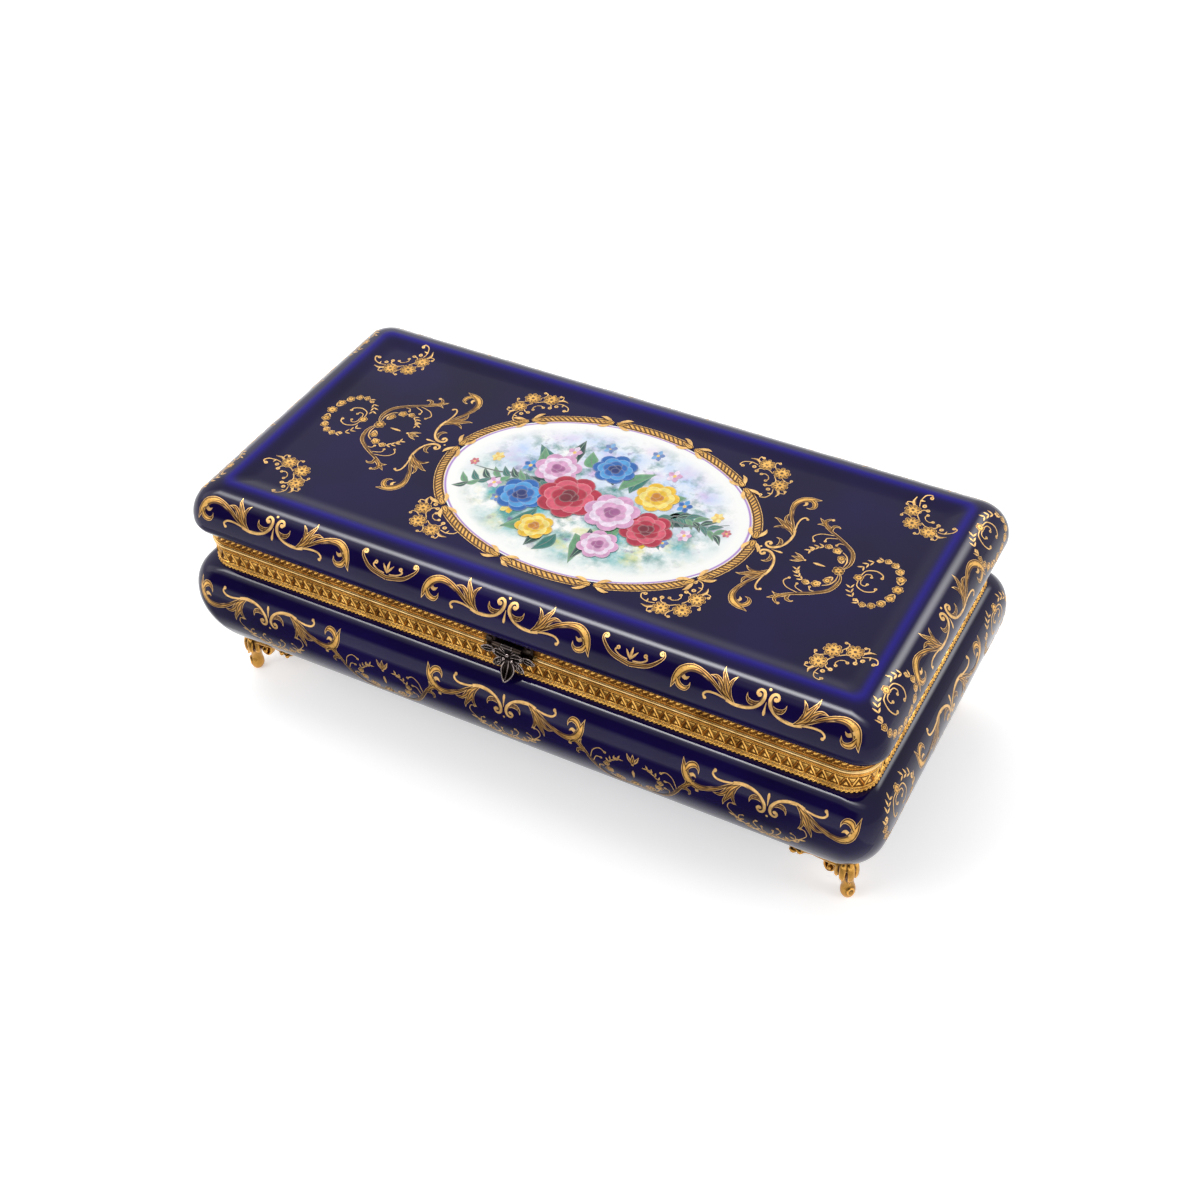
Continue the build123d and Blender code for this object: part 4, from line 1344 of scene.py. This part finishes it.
enamel_points = [on_medallion(0, 0, 0)]
for ring in range(1, enamel_rings + 1):
    for k in range(enamel_sides):
        place = round_oval(2 * math.pi * k / enamel_sides, enamel_half)
        enamel_points.append(on_medallion(*(part * ring / enamel_rings for part in place), 0))
enamel_faces = [(0, k + 1, (k + 1) % enamel_sides + 1) for k in range(enamel_sides)]
for face in ring_faces(enamel_rings, enamel_sides):
    enamel_faces.append(tuple(1 + face[i] for i in (0, 3, 2, 1)))
enamel = new_piece("medallion_enamel", enamel_points, enamel_faces)
oval_map = enamel.data.uv_layers.new(name="oval")
for loop in enamel.data.loops:
    place = enamel.data.vertices[loop.vertex_index].co / MM
    oval_map.data[loop.index].uv = (
        (place.x - medallion[0]) / enamel_half[0], (place.y - medallion[1]) / enamel_half[1]
    )

enamel_white = (0.80, 0.80, 0.78)
enamel_finish, tree, shader = new_finish("enamel", enamel_white, 0.1)
oval = uv_place(tree, "oval")
height = add_node(tree, "SeparateXYZ", Vector=oval).outputs["Y"]
distance = add_node(tree, "VectorMath", Vector=oval)
distance.operation = "LENGTH"
reach = distance.outputs["Value"]
wash_stretch = (1.4, 1, 1)
wash_ends = (0.92, 0.68)


def wash(under, colour, scale, seed, low, high, band=None):
    """A soft cloud of one colour over what is under it, kept to a band of heights."""
    shift = add_node(
        tree, "Mapping", Vector=oval, Location=(seed, 0.3 * seed, 0), Scale=wash_stretch
    )
    total = ranged(tree, noise(tree, shift.outputs[0], scale, 5.0, 0.6), (low, high))
    total = maths(tree, "MULTIPLY", total, ranged(tree, reach, wash_ends))
    if band:
        total = maths(tree, "MULTIPLY", total, ranged(tree, height, band))
    return mix_colours(tree, total, under, colour)


painted = enamel_white
for cloud in (
    ((0.30, 0.47, 0.78), 2.2, 1.0, 0.36, 0.66, (-0.3, 0.3)),
    ((0.60, 0.42, 0.68), 3.4, 5.0, 0.48, 0.72, (-0.5, 0.1)),
    ((0.07, 0.38, 0.40), 2.8, 9.0, 0.40, 0.60, (0.3, -0.3)),
    ((0.62, 0.60, 0.16), 3.8, 14.0, 0.52, 0.72, (0.1, -0.4)),
    ((0.05, 0.21, 0.19), 5.0, 20.0, 0.50, 0.68),
    ((0.16, 0.10, 0.28), 7.0, 27.0, 0.60, 0.74),
):
    painted = wash(painted, *cloud)
hairline = ramp(
    tree, reach, (0.0, BLACK), (0.972, BLACK), (0.978, WHITE), (0.986, WHITE), (0.992, BLACK)
)
painted = mix_colours(tree, hairline, painted, (0.36, 0.20, 0.52))
wire(shader, Base_Color=painted, Normal=place_group(tree, glaze_skin, Wave=0.1)["Normal"])
enamel.data.materials.append(enamel_finish)
smooth(enamel)
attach(enamel, "lid")

# Painted bunch of flowers. Each tone is a place in this list of colours.
paints = (
    (0.16, 0.004, 0.020), (0.42, 0.012, 0.045), (0.66, 0.09, 0.15),
    (0.004, 0.022, 0.15), (0.008, 0.12, 0.42), (0.07, 0.32, 0.66),
    (0.52, 0.19, 0.006), (0.80, 0.49, 0.02), (0.88, 0.72, 0.18),
    (0.34, 0.10, 0.26), (0.66, 0.34, 0.54), (0.80, 0.66, 0.79),
    (0.006, 0.055, 0.05), (0.02, 0.17, 0.14), (0.12, 0.32, 0.16),
)
CRIMSON, BLUE, YELLOW, PINK, GREEN = 2, 5, 8, 11, 14
paint_end = 17
flowers_wide, foliage_tall, small_flowers_tall = 1.16, 1.55, 1.5
bloom_wide, bloom_tall, bloom_size = 1.24, 1.42, 1.32
leaf_count, frond_leaves = 26, 9


def rose(u, v, radius, paint):
    """A full flower: rings of overlapping petals that grow smaller, and a dark heart."""
    shapes = []
    rings = ((7, 0.66, 0.40, 1), (6, 0.46, 0.37, 2), (5, 0.28, 0.31, 1), (3, 0.12, 0.22, 0))
    for ring, (count, reach, size, shade) in enumerate(rings):
        for k in range(count):
            angle = 2 * math.pi * k / count + 0.45 * ring + 0.13 * u
            place = around((u, v), angle, radius * reach)
            shapes.append(spot(*place, radius * size, tone=paint + shade, sides=14))
    return shapes


def daisy(u, v, radius, paint, petals=6):
    """A small open flower with a yellow eye."""
    shapes = []
    for k in range(petals):
        angle = 2 * math.pi * k / petals + 0.3
        middle, tip = (around((u, v), angle, share * radius) for share in (0.6, 1))
        petal_points = ((u, v, 0.1), (*middle, 0.36 * radius), (*tip, 0.05))
        shapes.append(stroke(*petal_points, tone=paint + 1 + k % 2))
    return shapes + [spot(u, v, 0.24 * radius, tone=YELLOW + 1, sides=8)]


def painted_leaf(u, v, angle, length, half, shade):
    """A green leaf with a rib in another green."""
    middle = around((u, v), angle, 0.4 * length)
    middle = around(middle, angle + math.pi / 2, 0.12 * length)
    tip = around((u, v), angle, length)
    body = stroke((u, v, 0.2), (*middle, half), (*tip, 0.05), tone=GREEN + shade)
    rib = stroke((u, v, 0.03), (*middle, 0.15), (*tip, 0.03), tone=GREEN + (0 if shade else 2))
    return [body, rib]


def raised(height):
    """The rule of the medallion, one coat of paint higher."""
    return lambda u, v, lift: on_medallion(u, v, lift - brown_lift + height)


foliage, small_flowers = [], []
for k in range(leaf_count):
    angle = 2 * math.pi * k / leaf_count
    reach = 15 + 5 * math.sin(3 * angle + 1)
    foliage += painted_leaf(
        *around((0, -2), angle, 1.45 * reach, 0.85 * reach), angle + 0.3 * (-1) ** k,
        11 + 3 * math.cos(5 * angle), 2.6, k % 3,
    )
for side in (-1, 1):
    foliage.append(
        stroke((side * 18, -3, 0.5), (side * 30, 0.5, 0.4), (side * 40, 1.5 * side, 0.3),
               (side * 50, 2.0 + 4 * side, 0.1), tone=GREEN)
    )
    facing = 0.5 * math.pi * (1 - side)
    for k in range(frond_leaves):
        place = (side * (22 + 3.1 * k), 3.5 * math.sin(0.45 * k) - 3 + 0.6 * k * side)
        foliage += painted_leaf(*place, facing + side * 0.6, 6.0, 1.2, k % 3)
        foliage += painted_leaf(*place, facing - side * 0.6, 5.6, 1.1, (k + 1) % 3)
    for u, v, radius, paint in (
        (31, 6.5, 3.0, BLUE), (38, -5.0, 2.8, PINK), (44.5, 6.0, 2.4, YELLOW),
        (26, -12.5, 3.4, YELLOW), (51, 1.0, 1.8, CRIMSON), (33, -10.5, 2.2, BLUE),
        (20, 17.5, 3.0, PINK), (9, 24.0, 2.6, BLUE),
    ):
        small_flowers += daisy(side * u, v + 1.5 * side, radius, paint, 5 + (u > 35))
bunch = [
    (raised(0.02), placed(foliage, wide=flowers_wide, tall=foliage_tall)),
    (raised(0.07), placed(small_flowers, wide=flowers_wide, tall=small_flowers_tall)),
]
for order, (u, v, radius, paint) in enumerate(
    (
        (-19.5, 7.5, 7.6, PINK), (18.5, 8.5, 7.0, YELLOW), (-1.5, 15.0, 7.2, BLUE),
        (-24.0, -8.5, 8.0, BLUE), (23.0, -6.5, 8.2, CRIMSON), (12.0, -18.5, 6.4, PINK),
        (-11.5, -19.5, 6.0, YELLOW), (-8.5, -3.0, 10.2, CRIMSON), (8.5, -4.0, 8.8, PINK),
    )
):
    bloom = rose(u * bloom_wide, v * bloom_tall, radius * bloom_size, paint)
    bunch.append((raised(0.12 + 0.04 * order), bloom))

bouquet_finish, tree, shader = new_finish("painted_flowers", (0.5, 0.2, 0.2), 0.14)
share = maths(tree, "DIVIDE", attribute(tree, "tone"), paint_end)
stops = [((k + 1.5 if k else 0) / paint_end, colour) for k, colour in enumerate(paints)]
palette = ramp(tree, share, *stops, interpolation="CONSTANT")
brushed = noise(tree, add_node(tree, "TexCoord").outputs["Object"], 380.0, 4.0, 0.6)
strength = ramp(tree, brushed, (0.36, (0.62, 0.62, 0.66)), (0.64, WHITE))
petals = mix_colours(tree, 0.7, palette, strength, "MULTIPLY")
rim_light = ramp(
    tree, attribute(tree, "edge"), (0.06, WHITE), (0.3, (0.35, 0.35, 0.35)), (0.9, BLACK)
)
rim_light = maths(tree, "MULTIPLY", rim_light, 0.2)
wire(shader, Base_Color=mix_colours(tree, rim_light, petals, (0.85, 0.80, 0.76)))
laid_on("medallion_flowers", bunch, "lid", bouquet_finish)

# Rope border: a raised gilt band with slanting brown strands, broken by ten knots
knot_angles = [math.radians(a) for a in (103.9, 72, 42, 6.3, -32, -70, -104, -141, 174, 137)]
rope_steps, rope_half_step, rope_gap = 360, 0.009, 0.045
strand_count, strand_slant, strand_gap = 186, 0.027, 0.075
knot_lift = 0.12


def near_knot(angle, within):
    """Whether an angle on the border lies at a knot."""
    return any(abs(math.remainder(angle - knot, 2 * math.pi)) < within for knot in knot_angles)


rope = []
for k in range(strand_count):
    angle = 2 * math.pi * k / strand_count
    if not near_knot(angle + strand_slant, strand_gap):
        strand = [
            (*round_oval(angle + step * strand_slant, border_half, out), half)
            for step, (out, half) in enumerate(((-2.0, 0.2), (0.0, 0.4), (2.0, 0.2)))
        ]
        rope.append(stroke(*strand, tone=BROWN))
band_vertices, band_faces = [], []
for k in range(rope_steps):
    angle = 2 * math.pi * k / rope_steps
    for out, deep in ((-border_wide, 0.0), (0.0, border_deep), (border_wide, 0.0)):
        band_vertices.append((*round_oval(angle, border_half, out), deep))
    after = 3 * ((k + 1) % rope_steps)
    if not near_knot(angle + rope_half_step, rope_gap):
        for i in (0, 1):
            band_faces.append((3 * k + i, 3 * k + i + 1, after + i + 1, after + i))
knot = [stroke((0.6, 0, 0.5), (1.7, 0, 1.5), (3.4, 0, 1.5), (4.8, 0, 0.9), (6.0, 0, 0.3))]
for way in (1, -1):
    knot.append(
        stroke((1.9, 1.1 * way, 0.3), (3.6, 2.3 * way, 0.8), (5.6, 3.3 * way, 0.75),
               (7.6, 3.4 * way, 0.04))
    )
for way in (1, -1):
    knot.append(vein(0.3, (3.0, 0.9 * way), (4.6, 1.5 * way), (6.8, 2.0 * way), tip=0.04))
knot = mirrored(knot + [vein(0.22, (1.4, 0), (2.8, 0), (4.4, 0), tip=0.04)])
knots = []
for angle in knot_angles:
    middle, ahead = (round_oval(angle + step, border_half) for step in (0, 0.01))
    run = math.degrees(math.atan2(ahead[1] - middle[1], ahead[0] - middle[0]))
    knots += placed(knot, *middle, turn=run)


def over_border(u, v, lift):
    """The rule of the medallion for the knots, which lie over the rope."""
    return on_medallion(u, v, lift + knot_lift)


border = [(on_medallion, [(band_vertices, band_faces, GOLD)] + rope), (over_border, knots)]
laid_on("medallion_border", border, "lid", gilding_finish)

# Lid channel
# The same stamped channel upside down on the lip of the lid, with a row of small slanting
# leaves and dots between two fine lines. A bright half-round wire is soldered along its foot.
stamped(
    "lid_channel_ground", [], [line([(ground_out, 85.1), (ground_out, 88.9)])], "lid",
    shaded_stamped_ground,
)
lid_fittings = ["hinge_left_lid_leaf", "hinge_right_lid_leaf", "clasp_plate"]
leaf_pitch = mount_length / round(mount_length / 2.9)
leaf_row, leaf_tilt = 87.0, 0.75
dot_aside, dot_below, dot_half = 0.45, 1.1, 0.42
leaf_shapes = []
for k in range(round(mount_length / leaf_pitch)):
    u = (k + 0.5) * leaf_pitch
    if clear_of(u, leaf_row, lid_fittings):
        leaf_shapes.append(knob(u, leaf_row, 1.65, 0.72, 0.5, tilt=leaf_tilt))
        for side in (1, -1):
            place = (u + side * dot_aside * leaf_pitch, leaf_row - side * dot_below)
            leaf_shapes.append(knob(*place, dot_half, dot_half, 0.35, sides=6))
lid_lines = [round_line(88.8, 89.3, 0.3), round_line(84.75, 85.25, 0.3)]
stamped("lid_channel_relief", leaf_shapes, lid_lines, "lid", stamped_gilt)
bright_gilt = metal("bright_gilt", (0.86, 0.58, 0.25), (0.62, 0.36, 0.11), 0.2, 500.0, 0.12)
refinish(["lid_rim_bead"], bright_gilt)

# Clasp
# Dark patinated bronze, rubbed bright on the high places. The plate is painted darker as the
# shadow under the lid's roll, and the flap's hollows and flats carry painted shade that leaves
# its rims as a painted highlight. A flap of pierced leaf work swings on a pin in the plate on
# the lid's channel, and snaps over a stud on the base's channel.
# The plate, rivets, pin and catch are painted darker than the flap's bronze, as the shade under the
# lid's roll and the flap, over their patina.
dark_bronze = metal("dark_bronze", (0.14, 0.10, 0.08), (0.02, 0.013, 0.011), 0.3, 900.0, 0.3)
# The flap is dark on its flats and hollows and bright on its rims: partly patina and rubbing,
# partly painted shade and a painted highlight.
flap_bronze = metal(
    "flap_bronze", (0.46, 0.38, 0.36), (0.010, 0.007, 0.006), 0.24, 900.0, 0.3, hollows=(0.1, 0.5)
)
refinish(["clasp_plate", "clasp_rivets", "clasp_pin", "clasp_catch"], dark_bronze)
flap_front, flap_beads = -76.3, -76.9
flap_axis = (-76.4, 87.2)
flap_grain = 0.16


def petal(x, z, degrees, length, half, curl_out=0.0):
    """An outlined leaf of the flap: a thin plate with a raised rim and a rib, in its plane."""
    angle = math.radians(degrees)
    across = around((0, 0), angle + math.pi / 2, 1)
    plate, rims, rib = [], ([], []), []
    for share, wide in (
        (0.0, 0.3), (0.2, 0.72), (0.45, 1.0), (0.7, 0.86), (0.88, 0.46), (1.0, 0.06),
    ):
        middle_x, middle_z = around((x, z), angle, length * share)
        y = flap_front - curl_out * share**2 + 0.4 * (1 - share)
        plate.append((middle_x, y, middle_z, half * wide, 0.38))
        rib.append((middle_x, y - 0.4, middle_z, 0.24, 0.26))
        for rim, edge in zip(rims, (-half * wide, half * wide)):
            place = (middle_x + edge * across[0], y - 0.3, middle_z + edge * across[1])
            rim.append((*place, 0.34, 0.38))
    side = (across[0], 0, across[1])
    return [strap(points, side, 8, spacing=0.3) for points in (plate, *rims, rib[:-1])]


def ball(x, z, radius):
    """A round bead of the flap."""
    path = []
    for step in (-1, -0.8, -0.4, 0, 0.4, 0.8, 1):
        half = radius * math.sqrt(1.02 - step**2)
        path.append((x + radius * step, flap_beads, z, half, half))
    return strap(path, (0, 1, 0), 10, spacing=0.3)


flap_shapes = [
    strap(
        [(x, *flap_axis, 1.3, 1.3) for x in (-2.6, -1.3, 0.0, 1.3, 2.6)], (0, 1, 0), 16, spacing=0.5
    ),
    strap(
        [(0, -76.3, 86.4, 2.4, 0.7), (0, -76.0, 84.4, 1.9, 0.7), (0, -75.9, 82.0, 2.4, 0.6),
         (0, -75.9, 79.6, 2.2, 0.6), (0, -75.9, 78.2, 1.4, 0.6)], (1, 0, 0), 12, spacing=0.4,
    ),
    ball(0, 83.0, 1.0),
]
flap_shapes += petal(0, 79.6, -90, 8.6, 2.9, curl_out=4.2)
for side in (-1, 1):
    for x, z, degrees, length, half in (
        (0.9, 79.8, -34, 7.6, 1.9), (1.0, 81.6, 14, 6.6, 2.1), (6.4, 83.2, -6, 6.2, 1.5),
        (4.4, 79.4, -74, 4.2, 1.2), (1.2, 83.8, 50, 4.6, 1.2),
    ):
        flap_shapes += petal(side * x, z, degrees if side > 0 else 180 - degrees, length, half)
    flap_shapes += [ball(side * 6.3, 83.1, 0.85), ball(side * 1.9, 80.3, 0.8)]
flap = cast("leafwork_flap", flap_shapes, flap_grain, softened=1)
flap.data.materials.append(flap_bronze)
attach(flap, "hasp")
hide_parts("clasp_hasp")

# The sizes of the casket in CAD and as modelled here
low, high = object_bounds()
{"cad": [list(cad_box[0]), list(cad_box[1])], "visual": [list(low), list(high)]}
